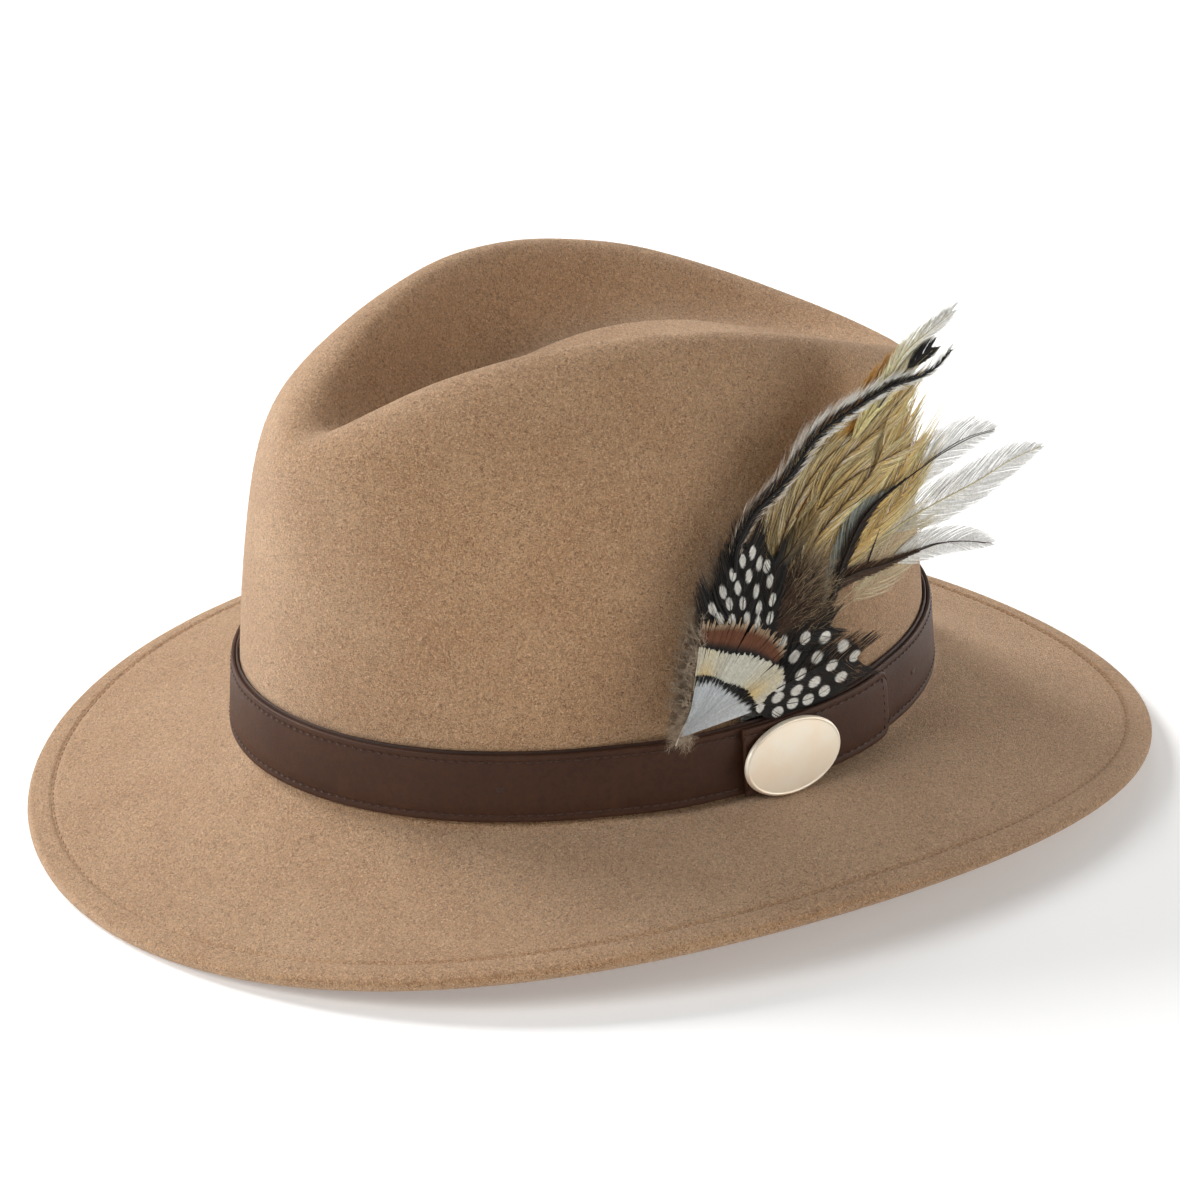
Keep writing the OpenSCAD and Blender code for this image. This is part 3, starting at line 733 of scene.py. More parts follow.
def make_sweatband():
    o, i = SWEAT_OFF, SWEAT_OFF - SWEAT_T
    hs = np.linspace(-1.6, SWEAT_H - 2.5, 16)
    bulge = 0.25 * np.sin(np.pi * (hs + 2) / 36)
    outer = [(h, o - 0.02) for h in hs]
    inner = [(h, i - 0.35 * b) for h, b in zip(hs[::-1], bulge[::-1])]
    sec = outer + [(SWEAT_H - 2.1, o - 0.2), (SWEAT_H - 2.0, o - 0.5), (SWEAT_H - 2.15, i + 0.15)]
    sec += inner + [(-1.95, i + 0.2), (-2.0, o - 0.5), (-1.9, o - 0.15)]
    t = round_the_hat(RING)
    ripple = 0.06 * np.sin(np.radians(t * 29))
    rings = [skin(h, off - step_in(h) + ripple, t) for h, off in sec]
    ob = new_object("sweatband_leather", rings, [grid_faces(len(rings), RING, wrap_rows=True)],
                    "hat", SWEAT)
    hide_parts("sweatband")
    ang = np.linspace(0, 2 * np.pi, 12, endpoint=False)
    twist = 0.05 * np.sin(np.radians(t * 160))
    rings = np.array([cone(-3 + 0 * t, o - 0.5 + (0.86 + twist) * np.cos(a), t)
                      + xyz(0 * t, 0, (0.86 + twist) * np.sin(a)) for a in ang])
    ob = new_object("sweatband_reed_cord", rings, [grid_faces(12, RING, wrap_rows=True)],
                    "hat", REED)
    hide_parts("sweatband_reed")

    def place(a):
        return cone(2 + 0 * a, i - 0.10, a)

    tt, _ = even(place, SWEAT_STITCHES)
    half = STITCH_HALF * 360 / SWEAT_STITCHES
    ob = capsules("sweatband_stitches", place(tt - half), place(tt + half), -outward(tt), 0.24,
                  "hat", "felt_thread", FELT_THREAD)
    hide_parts("sweatband_stitching")


make_sweatband()


def make_linings():
    t = T
    hs = np.array([6, 10, 15, 20, 23, 28, 34, 40, 46, 52, 57, 60])
    pleat = 0.14 * np.sin(np.radians(t * 90))

    def off(h, extra):
        return -FELT_T - 0.52 - step_in(h) + pleat - extra

    outer = [skin(h, off(h, 0), t) for h in hs]
    inner = [skin(h, off(h, 0.3), t) for h in hs[::-1]]
    rings = np.array(outer + inner)
    side = new_object("lining_side_satin", rings, [grid_faces(len(rings), N, wrap_rows=True)],
                      "hat", SATIN)
    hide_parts("lining_side")
    drop = FELT_T + 4.5
    vs = [1, 0.9, 0.8, 0.71, 0.62, 0.54, 0.47]
    top = [crease(1, t) * [f, 1, 1] - [0, 0, drop] for f in (0.3, 0.65)]
    top += [crease(v, t) - [0, 0, drop] for v in vs]
    low = skin(71.0, -FELT_T - 3.2, t)
    for s in (0.25, 0.5, 0.75):
        top.append(mix(top[8], low, s) + xyz(0 * t, 0, 1.2 * np.sin(np.pi * s)))
    gather = 0.22 * np.sin(np.radians(t * 75))
    rad = xyz(cosd(t), sind(t), 0 * t)
    top.append(low + rad * gather[:, None])
    for h, inset in ((66.5, 3.0), (62.0, 2.8)):
        top.append(skin(h, -FELT_T - inset, t) + rad * gather[:, None])
    top = np.array(top)
    nrm = surface_normals(top)
    rings = np.concatenate([top, (top - 0.35 * nrm)[::-1]])
    tip = new_object("lining_tip_satin", rings, capped(len(rings), N), "hat",
                     SATIN)
    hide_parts("lining_tip")


make_linings()


def make_bow_and_labels():
    bow_y = CROWN_Y + CROWN_B + SWEAT_OFF - SWEAT_T - 1.9
    verts, faces = [], []

    def ribbon(path, width):
        """A band of ribbon; path is (x, depth, z) in mm, width is a function of s."""
        path = np.asarray(path, float)
        s = np.linspace(0, 1, len(path))
        w = np.array([width(v) for v in s])
        rows = [path + np.stack([0 * w, 0 * w, w * f], -1) for f in (-0.5, -0.25, 0, 0.25, 0.5)]
        rows = np.array(rows)
        rows[1:4, :, 1] -= 0.12
        start = sum(len(v) for v in verts)
        verts.append(rows.reshape(-1, 3))
        faces.append(grid_faces(5, len(path), wrap_cols=False, start=start))

    a = np.linspace(0, 2 * np.pi, 49)
    for sgn in (-1, 1):
        x = sgn * (5.2 - 5.0 * np.cos(a))
        depth = -0.32 + 0.42 * np.sin(a)
        ribbon(np.stack([x, depth, 0.25 * np.sin(a)], -1),
               lambda v: 2.0 + 1.6 * abs(math.sin(math.pi * v)))
    k = np.linspace(-0.25 * np.pi, 1.25 * np.pi, 17)
    ribbon(np.stack([1.25 * np.cos(k), -0.35 - 0.5 * np.sin(k), 0 * k], -1), lambda v: 2.9)
    v = np.concatenate(verts) + [0, bow_y, BREAK_Z + 12]
    bow = new_object("bow_ribbon", v, [np.concatenate(faces)], "hat", RIBBON)
    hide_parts("sweatband_bow")
    off0 = SWEAT_OFF - SWEAT_T - 0.30
    k = 25
    for name, node, t0, t1, h0, h1, size in (
            ("size_label_cloth", "size_label", 103, 109, 6, 18, (0.01, 0.012)),
            ("care_label_cloth", "care_label", 66, 74, 5, 20, (0.0128, 0.015))):
        tt, hh = np.linspace(t0, t1, k), np.linspace(h0, h1, k)
        curl = 0.10 * (1 - np.cos(np.linspace(0, 2 * np.pi, k)))
        front = np.array([skin(h, off0 - 0.16 - curl, tt) for h in hh])
        back = np.array([skin(h, off0 - curl, tt) for h in hh[::-1]])
        f = grid_faces(2 * k, k, wrap_rows=True, wrap_cols=False)
        ends = np.array([[i * k, (i + 1) * k, (2 * k - 2 - i) * k, (2 * k - 1 - i) * k]
                         for i in range(k - 1)])
        ob = new_object(name, np.concatenate([front, back]), [f, ends, ends[:, ::-1] + k - 1],
                        "hat", LABEL)
        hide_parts(node)


make_bow_and_labels()

# ---- feather brooch: the plane the feathers lie in ----
PLANE_O = cone(CONE_H, 3.4, 0.0)
PLANE_LEAN, PLANE_TURN = math.radians(8), math.radians(4)
PLANE_N = np.array([math.cos(PLANE_LEAN) * math.cos(PLANE_TURN),
                    math.cos(PLANE_LEAN) * math.sin(PLANE_TURN), math.sin(PLANE_LEAN)])
PLANE_U = np.array([-math.sin(PLANE_TURN), math.cos(PLANE_TURN), 0])
PLANE_V = np.cross(PLANE_N, PLANE_U)


def on_plane(u, v, z):
    u, v, z = (a[..., None] for a in np.broadcast_arrays(u, v, z))
    return PLANE_O + PLANE_U * u + PLANE_V * v + PLANE_N * z


def to_hat(u, v, z):
    """Plane coordinates to the hat's. Low down, everything is pressed flat at the band."""
    low = 0.5 + 0.06 * z
    return on_plane(u, v, low + (z - low) * smooth((v + 3) / 16))


def spline(points, step=0.5):
    """A smooth curve through the points, with nearly even steps."""
    p = np.asarray(points, float)
    e = np.concatenate([[2 * p[0] - p[1]], p, [2 * p[-1] - p[-2]]])
    out = []
    for i in range(1, len(e) - 2):
        n = max(2, int(np.linalg.norm(e[i + 1] - e[i]) / step))
        s = np.linspace(0, 1, n, endpoint=False)[:, None]
        out.append(0.5 * (2 * e[i] + (e[i + 1] - e[i - 1]) * s
                          + (2 * e[i - 1] - 5 * e[i] + 4 * e[i + 1] - e[i + 2]) * s ** 2
                          + (3 * e[i] - e[i - 1] - 3 * e[i + 1] + e[i + 2]) * s ** 3))
    return np.concatenate(out + [p[-1:]])


class Plumage:
    """Strips and quills collected into one mesh, with a colour at each vertex."""

    def __init__(self):
        self.v, self.f, self.c, self.uv, self.count, self.cells = [], [], [], [], 0, 0

    def add(self, p, colour, faces):
        """p (k, m, n, 3) in (u, v, z): k pieces of m rows of n points; colour (k, m, 3)."""
        k, m, n = p.shape[:3]
        self.v.append(to_hat(*p.reshape(-1, 3).T))
        self.c.append(np.repeat(colour.reshape(-1, 3), n, 0))
        self.f.append(faces + self.count)
        uv = np.zeros((k, m, n, 2))
        uv[..., 0] = np.linspace(0, 1, m)[:, None]
        uv[..., 1] = (self.cells + np.arange(k))[:, None, None] + np.linspace(0.1, 0.9, n)
        self.uv.append(uv.reshape(-1, 2))
        self.cells += k
        self.count += k * m * n

    def strips(self, centre, width_dir, half, colour):
        """Flat slivers: centre and width_dir (k, m, 3), half (k, m), colour (k, m, 3)."""
        k, m = centre.shape[:2]
        side = width_dir * half[..., None]
        idx = np.arange(k * m * 2).reshape(k, m, 2)
        q = np.stack([idx[:, :-1, 0], idx[:, 1:, 0], idx[:, 1:, 1], idx[:, :-1, 1]], -1)
        self.add(np.stack([centre - side, centre + side], 2), colour, q.reshape(-1, 4))

    def tube(self, path, radius, colour, sides=5):
        """A quill along path (m, 3) in (u, v, z), of one colour."""
        tan = unit(np.gradient(path, axis=0))
        side = unit(np.stack([-tan[:, 1], tan[:, 0], 0 * tan[:, 0]], -1))
        up = np.cross(tan, side)
        ang = np.linspace(0, 2 * np.pi, sides, endpoint=False)
        ring = path[:, None] + radius[:, None, None] * (
            np.cos(ang)[None, :, None] * side[:, None] + np.sin(ang)[None, :, None] * up[:, None])
        self.add(ring[None], np.tile(colour, (len(path), 1)), grid_faces(len(path), sides))

    def build(self, name, node, material):
        v, c, uv = np.concatenate(self.v), np.concatenate(self.c), np.concatenate(self.uv)
        ob = new_object(name, v, [np.concatenate(self.f)], "brooch", material)
        mesh = ob.data
        attr = mesh.color_attributes.new("Col", "FLOAT_COLOR", "POINT")
        rgba = np.ones((len(mesh.vertices), 4), np.float32)
        rgba[:, :3] = c
        attr.data.foreach_set("color", rgba.ravel())
        # rows of the bake map: columns of slivers side by side
        columns = max(1, int(np.sqrt(self.cells / 40)))
        per = int(np.ceil(self.cells / columns))
        row = np.floor(uv[:, 1])
        frac = uv[:, 1] - row
        col = np.floor(row / per)
        uu = (col + 0.02 + 0.96 * uv[:, 0]) / columns
        vv = (row - col * per + frac) / per
        index = np.zeros(len(mesh.loops), np.int32)
        mesh.loops.foreach_get("vertex_index", index)
        layer = mesh.uv_layers.new(name="OFBake")
        layer.data.foreach_set("uv", np.stack([uu[index], vv[index]], -1).astype(np.float32).ravel())
        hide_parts(node)


def rgb(*c):
    return np.array(linear(c)[:3])


def feather(pl, path, wl, wr, paint, z, spacing, angle, m, hw=None, quill=None,
            quill_colour=None, clump=0.5, ragged=0.12, start=0.0, end=1.0, split=0.0, tone=0.08):
    """One feather along path, at height z, its barbs leaving the quill at angle degrees.

    wl and wr are the widths left and right at even steps, start and end the shares of the
    length that carry barbs, m the points on a barb, and hw half a barb's width. Barbs bunch
    by clump and split, and ragged is how uneven they end. paint(s, tau, side, uv) is the
    colour at share s of the length and tau of the barb.
    """
    p = spline(path)
    seg = np.linalg.norm(np.diff(p[:, :2], axis=0), axis=1)
    d = np.concatenate([[0], np.cumsum(seg)])
    length = d[-1]
    tan = unit(np.gradient(p[:, :2], axis=0))

    def at(s):
        inside = np.clip(s, 0, length)
        over = s - inside
        t = unit(np.stack([np.interp(inside, d, tan[:, i]) for i in (0, 1)], -1))
        pos = np.stack([np.interp(inside, d, p[:, i]) for i in (0, 1)], -1)
        return pos + t * over[..., None], t

    hw = spacing * 0.62 if hw is None else hw
    for sgn, widths in ((1, wl), (-1, wr)):
        count = max(4, int(length * (end - start) / spacing))
        s0 = length * (start + (end - start) * (np.arange(count) + rng.uniform(-0.3, 0.3, count))
                       / count)
        f0 = s0 / length
        w = np.interp(f0, np.linspace(0, 1, len(widths)), widths)
        ph = rng.uniform(0, 6.28, 4)
        n1 = np.sin(s0 * 1.9 + ph[0]) * 0.6 + np.sin(s0 * 4.3 + ph[1]) * 0.4
        w = np.maximum(w * (1 + ragged * (0.6 * n1 + rng.normal(0, 0.6, count))), 0.25)
        ang = np.radians(angle + 6 * n1 * clump + rng.normal(0, 1.6, count))
        run = w / np.tan(ang)
        shift = clump * (np.sin(s0 * 0.9 + ph[2]) + 0.7 * np.sin(s0 * 2.7 + ph[3]))
        if split:
            shift = shift + split * np.sign(np.sin(s0 * 0.35 + ph[1])) * 0.5
        tau = np.linspace(0, 1, m)[None]
        s = s0[:, None] + run[:, None] * tau ** 1.25 + shift[:, None] * tau ** 2
        pos, t = at(s)
        lat = np.stack([-t[..., 1], t[..., 0]], -1) * sgn
        uvp = pos + lat * (w[:, None] * tau ** 0.92)[..., None]
        zz = z - 0.5 * tau ** 2 * np.minimum(w[:, None] / 5, 1.2) \
            + rng.uniform(-0.06, 0.06, count)[:, None] + 0.05 * sgn
        centre = np.concatenate([uvp, zz[..., None]], -1)
        along = unit(np.gradient(centre, axis=1))
        wd = unit(np.stack([-along[..., 1], along[..., 0], 0 * along[..., 0]], -1))
        tilt = rng.normal(0.25 * sgn, 0.28, count)[:, None]
        wd = np.stack([wd[..., 0] * np.cos(tilt), wd[..., 1] * np.cos(tilt),
                       np.sin(tilt) + 0 * wd[..., 0]], -1)
        half = hw * (1 - 0.75 * tau ** 3) + 0 * w[:, None]
        colour = paint(f0[:, None] + 0 * tau, tau + 0 * w[:, None], sgn, uvp)
        locks = np.sin(s0 * 2.1 + ph[0]) * np.sin(s0 * 0.83 + ph[3]) \
            + 0.5 * np.sin(s0 * 5.3 + ph[2])
        colour = colour * (1 + tone * locks + rng.normal(0, 0.08, count))[:, None, None]
        pl.strips(centre, wd, half, np.clip(colour, 0, 1))
    if quill:
        path3 = np.concatenate([p[:, :2], np.full((len(p), 1), z + 0.22)], -1)[::2]
        pl.tube(path3, np.interp(d / length, [0, 1], quill)[::2], quill_colour)


HAIR_POINTS = 4


def wisps(pl, roots, angles, lengths, paint, z, hw, m, wave, hairs=0):
    """Loose downy barbs: thin strips that wander, with finer hairs on each."""
    k = len(roots)
    tau = np.linspace(0, 1, m)
    turn = rng.normal(0, wave, (k, m)).cumsum(1) * 0.35 + rng.normal(0, wave, k)[:, None] * tau
    ang = np.radians(angles)[:, None] + turn
    step = lengths[:, None] / (m - 1)
    du, dv = np.cos(ang) * step, np.sin(ang) * step
    u = roots[:, 0][:, None] + np.concatenate([np.zeros((k, 1)), du[:, :-1].cumsum(1)], 1)
    v = roots[:, 1][:, None] + np.concatenate([np.zeros((k, 1)), dv[:, :-1].cumsum(1)], 1)
    zz = z + rng.uniform(-0.3, 0.5, k)[:, None] + rng.normal(0, 0.9, k)[:, None] * tau ** 1.5
    zz = np.maximum(zz, 0.15)
    centre = np.stack([u, v, zz], -1)
    half = hw * (1 - 0.8 * tau)[None] + 0 * ang
    colour = paint(tau[None] + 0 * ang, k)
    pl.strips(centre, xyz(-np.sin(ang), np.cos(ang), 0), half, np.clip(colour, 0, 1))
    if hairs:
        at = rng.integers(1, m - 1, (k, hairs))
        r = np.take_along_axis(centre, at[..., None], 1).reshape(-1, 3)
        base = np.degrees(np.take_along_axis(ang, at, 1)).reshape(-1)
        side = np.where(rng.random(len(base)) < 0.5, -1, 1)
        a2 = base + side * rng.uniform(25, 60, len(base))
        c2 = np.take_along_axis(colour, at[..., None], 1).reshape(-1, 3)
        l2 = rng.uniform(0.8, 2.2, len(base))
        tau2 = np.linspace(0, 1, HAIR_POINTS)
        bend = np.radians(a2)[:, None] + rng.normal(0, 0.4, len(base))[:, None] * tau2
        uu = r[:, 0][:, None] + l2[:, None] * tau2 * np.cos(bend)
        vv = r[:, 1][:, None] + l2[:, None] * tau2 * np.sin(bend)
        cz = r[:, 2][:, None] + rng.normal(0, 0.25, len(base))[:, None] * tau2
        cz = np.maximum(cz, 0.12)
        half2 = hw * 0.5 * (1 - 0.7 * tau2)[None] + 0 * bend
        pl.strips(np.stack([uu, vv, cz], -1), xyz(-np.sin(bend), np.cos(bend), 0), half2,
                  np.repeat(c2[:, None], HAIR_POINTS, 1))


def shade(a, b, f):
    return a * (1 - f[..., None]) + b * f[..., None]


def graded(a, b, at, by_s=0.0, by_tau=0.0):
    """A painter that goes from a to b along the feather and out along its barbs."""
    return lambda s, tau, side, uv: shade(a, b, np.clip(at + by_s * s + by_tau * tau, 0, 1))


THIN_QUILL = (0.2, 0.05)      # radius at the root and at the tip
WHITE, CREAM, PALE = rgb(246, 243, 234), rgb(234, 222, 188), rgb(214, 200, 160)
GOLD, OLIVE, STRAW = rgb(234, 194, 116), rgb(160, 132, 84), rgb(252, 230, 170)
BLACK, UMBER, BROWN = rgb(24, 21, 19), rgb(54, 38, 26), rgb(96, 68, 44)
RUST, DOWN, DOWN_LIGHT = rgb(114, 68, 42), rgb(114, 93, 72), rgb(200, 180, 156)
GREYF, ORANGE, BLUE = rgb(206, 211, 213), rgb(214, 148, 60), rgb(172, 178, 168)
WARM = rgb(222, 194, 152)


# ---- down at the front edge and fluff behind ----
def make_down():
    pl = Plumage()
    edge = spline([(-27, 2), (-27.5, 9), (-26, 16), (-24, 24), (-20, 31), (-16, 38), (-11, 44),
                   (-6, 49), (-1, 53)], 0.2)

    def paint(tau, k):
        tone = np.clip(rng.normal(0.5, 0.35, k), 0, 1)[:, None]
        return shade(DOWN, DOWN_LIGHT, np.clip(tone + 0.4 * tau, 0, 1))

    def dark(tau, k):
        tone = np.clip(rng.normal(0.35, 0.3, k), 0, 1)[:, None]
        return shade(BROWN, DOWN_LIGHT, np.clip(0.6 * tone + 0.3 * tau, 0, 1))

    for count, inset, painter, z in ((560, 2.5, dark, 0.6), (380, 0.5, paint, 1.4)):
        bias = 1.0 if painter is dark else 1.9
        i = (rng.random(count) ** bias * (len(edge) - 1)).astype(int)
        f = i / len(edge)
        root = edge[i] + rng.normal(0, 1.1, (count, 2)) + [inset, -inset]
        ang = np.interp(f, [0, 0.25, 0.5, 0.75, 1], [172, 150, 130, 118, 100]) \
            + rng.normal(0, 16, count)
        length = rng.uniform(3.0, 7.5, count) * np.interp(f, [0.3, 1], [1.0, 0.9])
        wisps(pl, root, ang, length, painter, z, 0.09, 10, 0.5, 8)
    # a dark halo up the left side of the spotted feathers: loose hairs whose dark brown is partly
    # their own colour and partly painted shade
    i = rng.integers(int(len(edge) * 0.35), len(edge), 200)
    root = edge[i] + rng.normal(0, 1.2, (200, 2)) + [3.0, 0.5]
    wisps(pl, root, 116 + rng.normal(0, 13, 200), rng.uniform(7, 15, 200), dark, 1.0, 0.07, 12,
          0.3, 4)

    # fluff between the two spotted groups, sweeping back
    def fluff(tau, k):
        tone = np.clip(rng.normal(0.25, 0.25, k), 0, 1)[:, None]
        base = shade(UMBER, BROWN, tone + 0 * tau)
        return shade(base, WARM, 0.7 * np.clip(tau * 2.6 - 1.9 + 0.6 * tone, 0, 1))

    count = 760
    a0 = rng.uniform(0, 1, count)
    root = np.stack([mix(6.0, 13.0, a0) + rng.normal(0, 2.2, count),
                     mix(20.0, 34.0, a0) + rng.normal(0, 2.2, count)], -1)
    ang = mix(8.0, 48.0, a0) + rng.normal(0, 9, count)
    wisps(pl, root, ang, rng.uniform(8, 24, count) * mix(1.1, 0.85, a0), fluff, 2.9, 0.13, 12,
          0.2, 3)
    # down that covers the left edge of the fans
    count = 250
    f = rng.uniform(0, 1, count) ** 1.5
    root = np.stack([mix(-29.0, -20.5, f), mix(2.0, 31.0, f)], -1) + rng.normal(0, 0.9, (count, 2))
    ang = mix(168.0, 118.0, f) + rng.normal(0, 20, count)
    wisps(pl, root, ang, rng.uniform(3.0, 8.5, count), paint, 5.0, 0.075, 10, 0.5, 6)
    pl.build("feather_down_wisps", "down_fringe", FEATHER)


# ---- pale plumes ----
def make_plumes():
    pl = Plumage()
    clear = graded(rgb(254, 253, 248), CREAM, 0.5, -0.6, -0.2)
    straw = graded(PALE, CREAM, 0, 0, 1)
    brown, straw_quill = rgb(70, 60, 50), rgb(216, 204, 160)
    for q, wl, wr, z, angle, quill, tint, start in (
            ([(40, 30), (53.4, 50.0), (63.2, 55.4), (72, 58.2), (82.5, 60.2), (93, 59.9)],
             [1, 3, 5.5, 6.8, 6.2, 5.2, 3.2, 0.8], [1, 3, 5.2, 6.2, 5.5, 4.2, 2.5, 0.6],
             0.9, 22, (0.3, 0.08), brown, 0.25),
            ([(30, 28), (40.7, 36.9), (53.7, 40.8), (65.9, 43.6), (84.2, 46.4), (98.3, 49.4),
              (109.5, 50.4)],
             [1, 5, 7, 6.4, 6, 5.4, 4.4, 2.6, 0.6], [1, 5, 7, 6.8, 6.4, 5.6, 4.4, 2.6, 0.6],
             0.6, 20, (0.3, 0.1), straw_quill, 0.3),
            ([(30, 29), (47.4, 31.8), (62.8, 32.9), (69.6, 32.4), (77.9, 30.6), (88, 27.3)],
             [1, 4, 5, 4.8, 4.6, 4, 2.6, 0.6], [1, 4, 4.6, 4.2, 3.8, 3.0, 1.9, 0.5],
             1.2, 22, (0.3, 0.08), brown, 0.35)):
        feather(pl, q, wl, wr, clear, z, 0.24, angle, 10, 0.1, quill, tint, 0.25, 0.025,
                start=start, tone=0.03)
    # pale vanes over the felt
    for q, w in (([(22, 24), (38, 34), (50, 41), (61, 46)], 5),
                 ([(24, 22), (40, 29), (52, 36), (63, 41)], 5.5),
                 ([(24, 21), (38, 25), (50, 29), (62, 36)], 5),
                 ([(26, 30), (40, 42), (52, 50), (63, 57)], 5)):
        widths = [1, w, w, w * 0.8, w * 0.5]
        feather(pl, q, widths, widths, straw, 0.8, 0.62, 20, 9, 0.075, (0.16, 0.04), PALE, 0.8,
                0.12, split=1.0, start=0.3, tone=0.15)
    pl.build("feather_white_plumes", "white_plumes", PLUME)


# ---- brown vaned feathers ----
def make_brown():
    pl = Plumage()

    def vane(s, tau, side, uv):
        base = shade(UMBER, BLACK, np.clip(0.7 - s, 0, 1))
        if side > 0:
            edge = np.clip((tau - 0.3) * 2.4, 0, 1) * np.clip((0.6 - s) * 4, 0, 1)
            return shade(base, BLUE, edge * 0.95)
        return base

    feather(pl, [(23, 19), (28.8, 30.9), (34, 39), (40, 46.3), (46.4, 50.6), (53.4, 53.2),
                 (63.2, 56.3), (72, 58.7), (82.5, 60.4), (91, 60.2)],
            [2, 4.6, 5.6, 4.2, 1.6, 0.5, 0.3, 0.2, 0.15, 0.1],
            [2, 2.2, 2.8, 2.4, 1.2, 0.5, 0.3, 0.2, 0.15, 0.1], vane, 2.6, 0.3, 24, 9,
            quill=(0.42, 0.1), quill_colour=rgb(40, 30, 24), end=0.6)
    dark = graded(UMBER, BROWN, 0, 0.9, 0.25)
    feather(pl, [(18, 24), (27.1, 30.4), (37.4, 32.5), (47.4, 32.2), (62.8, 32.9), (69.6, 32.6),
                 (77.9, 30.8), (85, 28.2)],
            [1.5, 2.1, 2.0, 1.4, 0.7, 0.3, 0.2, 0.1], [2, 2.8, 2.4, 1.5, 0.7, 0.3, 0.2, 0.1], dark,
            2.2, 0.3, 22, 9, quill=(0.42, 0.1), quill_colour=rgb(52, 38, 28), end=0.62)
    mossy = graded(rgb(38, 42, 38), OLIVE, -0.5, 1.6)
    feather(pl, [(4, 33), (8.4, 41.3), (12.9, 44.6), (18.8, 49.5), (24.6, 54.3)],
            [2, 3, 3.2, 2.0, 1.0], [2, 3, 3.4, 2.4, 1.0], mossy, 3.3, 0.3, 26, 8,
            quill=(0.28, 0.06), quill_colour=rgb(60, 46, 34))
    pl.build("feather_brown_vanes", "brown_hackles", FEATHER)


# ---- golden hackles ----
def make_golden():
    pl = Plumage()

    def hackle(tone, dark_mid):
        def paint(s, tau, side, uv):
            strand = np.modf(np.abs(np.sin(s * 9173.0) * 437.5))[0]
            base = shade(OLIVE, GOLD, tone + 0 * s)
            base = shade(base, STRAW, np.clip((tau - 0.15) * 1.3, 0, 1) * 0.9)
            # painted highlight and shade: some strands are drawn near white as glints, others brown
            # as dark lines of shade between strands
            base = shade(base, WHITE, 0.6 * smooth((strand - 0.86) / 0.05))
            base = shade(base, BROWN, 0.85 * smooth((0.2 - strand) / 0.05))
            mid = np.clip(1 - tau * 5.0, 0, 1) * dark_mid
            root = np.clip(0.32 - s, 0, 1) * 1.2
            return shade(shade(base, UMBER, 0.8 * mid), UMBER, root)
        return paint

    lines = [
        # path, half width, tone, darkness of the middle, height
        ([(0, 34), (8, 50), (17, 61), (27, 69), (38, 74.5)], 4.6, 0.15, 0.5, 1.6),
        ([(2, 33), (9, 47), (19, 58), (30, 67.5), (44, 75)], 4.6, 0.35, 0.7, 1.9),
        ([(4, 32), (14, 46.5), (24.6, 57), (36, 67), (50, 76.5)], 4.8, 0.5, 0.3, 2.0),
        ([(8, 35), (18.8, 47.8), (24.6, 54.3), (28.8, 60.6), (36.2, 66.1), (43.2, 68.9),
          (54, 73.5)], 4.4, 0.55, 0.9, 2.5),
        ([(9, 33), (19, 46), (31, 56.5), (44, 66), (57, 77.5), (63, 82)], 4.6, 0.75, 0.35, 2.1),
        ([(10, 36), (19, 49.1), (28.1, 55.4), (37, 59.8), (47.4, 61.8), (57, 63.4)], 4.2, 0.7, 1.0,
         2.8),
        ([(12, 30), (24, 43), (37, 55), (50, 66), (62, 79)], 5.0, 0.9, 0.2, 1.8),
        ([(13, 30), (21.7, 44.3), (32.7, 52.2), (40, 56.3), (46.4, 60.7), (51, 66.5)], 3.8, 0.5,
         1.0, 2.9),
        ([(15, 28), (28, 40), (41, 51), (52, 61), (62.5, 72)], 5.0, 1.0, 0.15, 1.7),
        ([(16, 27), (30, 37), (44, 47), (55, 55), (64, 64)], 5.0, 0.95, 0.2, 1.5),
        ([(17, 26), (32, 35), (46, 43), (57, 50), (65, 57)], 4.6, 0.9, 0.25, 1.4),
        ([(5, 36), (14, 52), (22, 61.5), (31, 68), (40, 71)], 3.2, 0.3, 1.0, 2.3)]
    for q, w, tone, mid, z in lines:
        widths = [0.8 * w, w, w, 0.9 * w, 0.62 * w, 0.25 * w]
        feather(pl, q, widths, widths, hackle(tone, mid), z, 0.3, 13, 10, 0.1,
                (0.2, 0.04) if mid > 0.6 else None, rgb(96, 70, 40), 1.0, 0.2, split=1.2,
                tone=0.3)
    pl.build("feather_golden_hackles", "golden_hackles", FEATHER)


def make_orange():
    pl = Plumage()
    paint = graded(ORANGE, rgb(226, 178, 96), 0, 0, 0.9)
    feather(pl, [(16, 56), (24.7, 65), (36, 73.5), (47.2, 81.5), (56, 87.5), (63, 92)],
            [1.5, 2.8, 3.4, 3.6, 2.6, 0.6], [1.5, 2.6, 3.0, 3.0, 2.2, 0.6], paint, 1.5, 0.3, 20, 9,
            quill=(0.22, 0.05), quill_colour=rgb(120, 74, 34))
    feather(pl, [(18, 54), (29, 64.5), (38, 71.5), (46.4, 76.5)], [1, 2, 2.4, 2, 0.6],
            [1, 2, 2.4, 2, 0.6], paint, 2.05, 0.4, 17, 8, quill=(0.22, 0.05),
            quill_colour=rgb(110, 66, 30))
    pl.build("feather_orange_hackles", "orange_hackle", FEATHER)


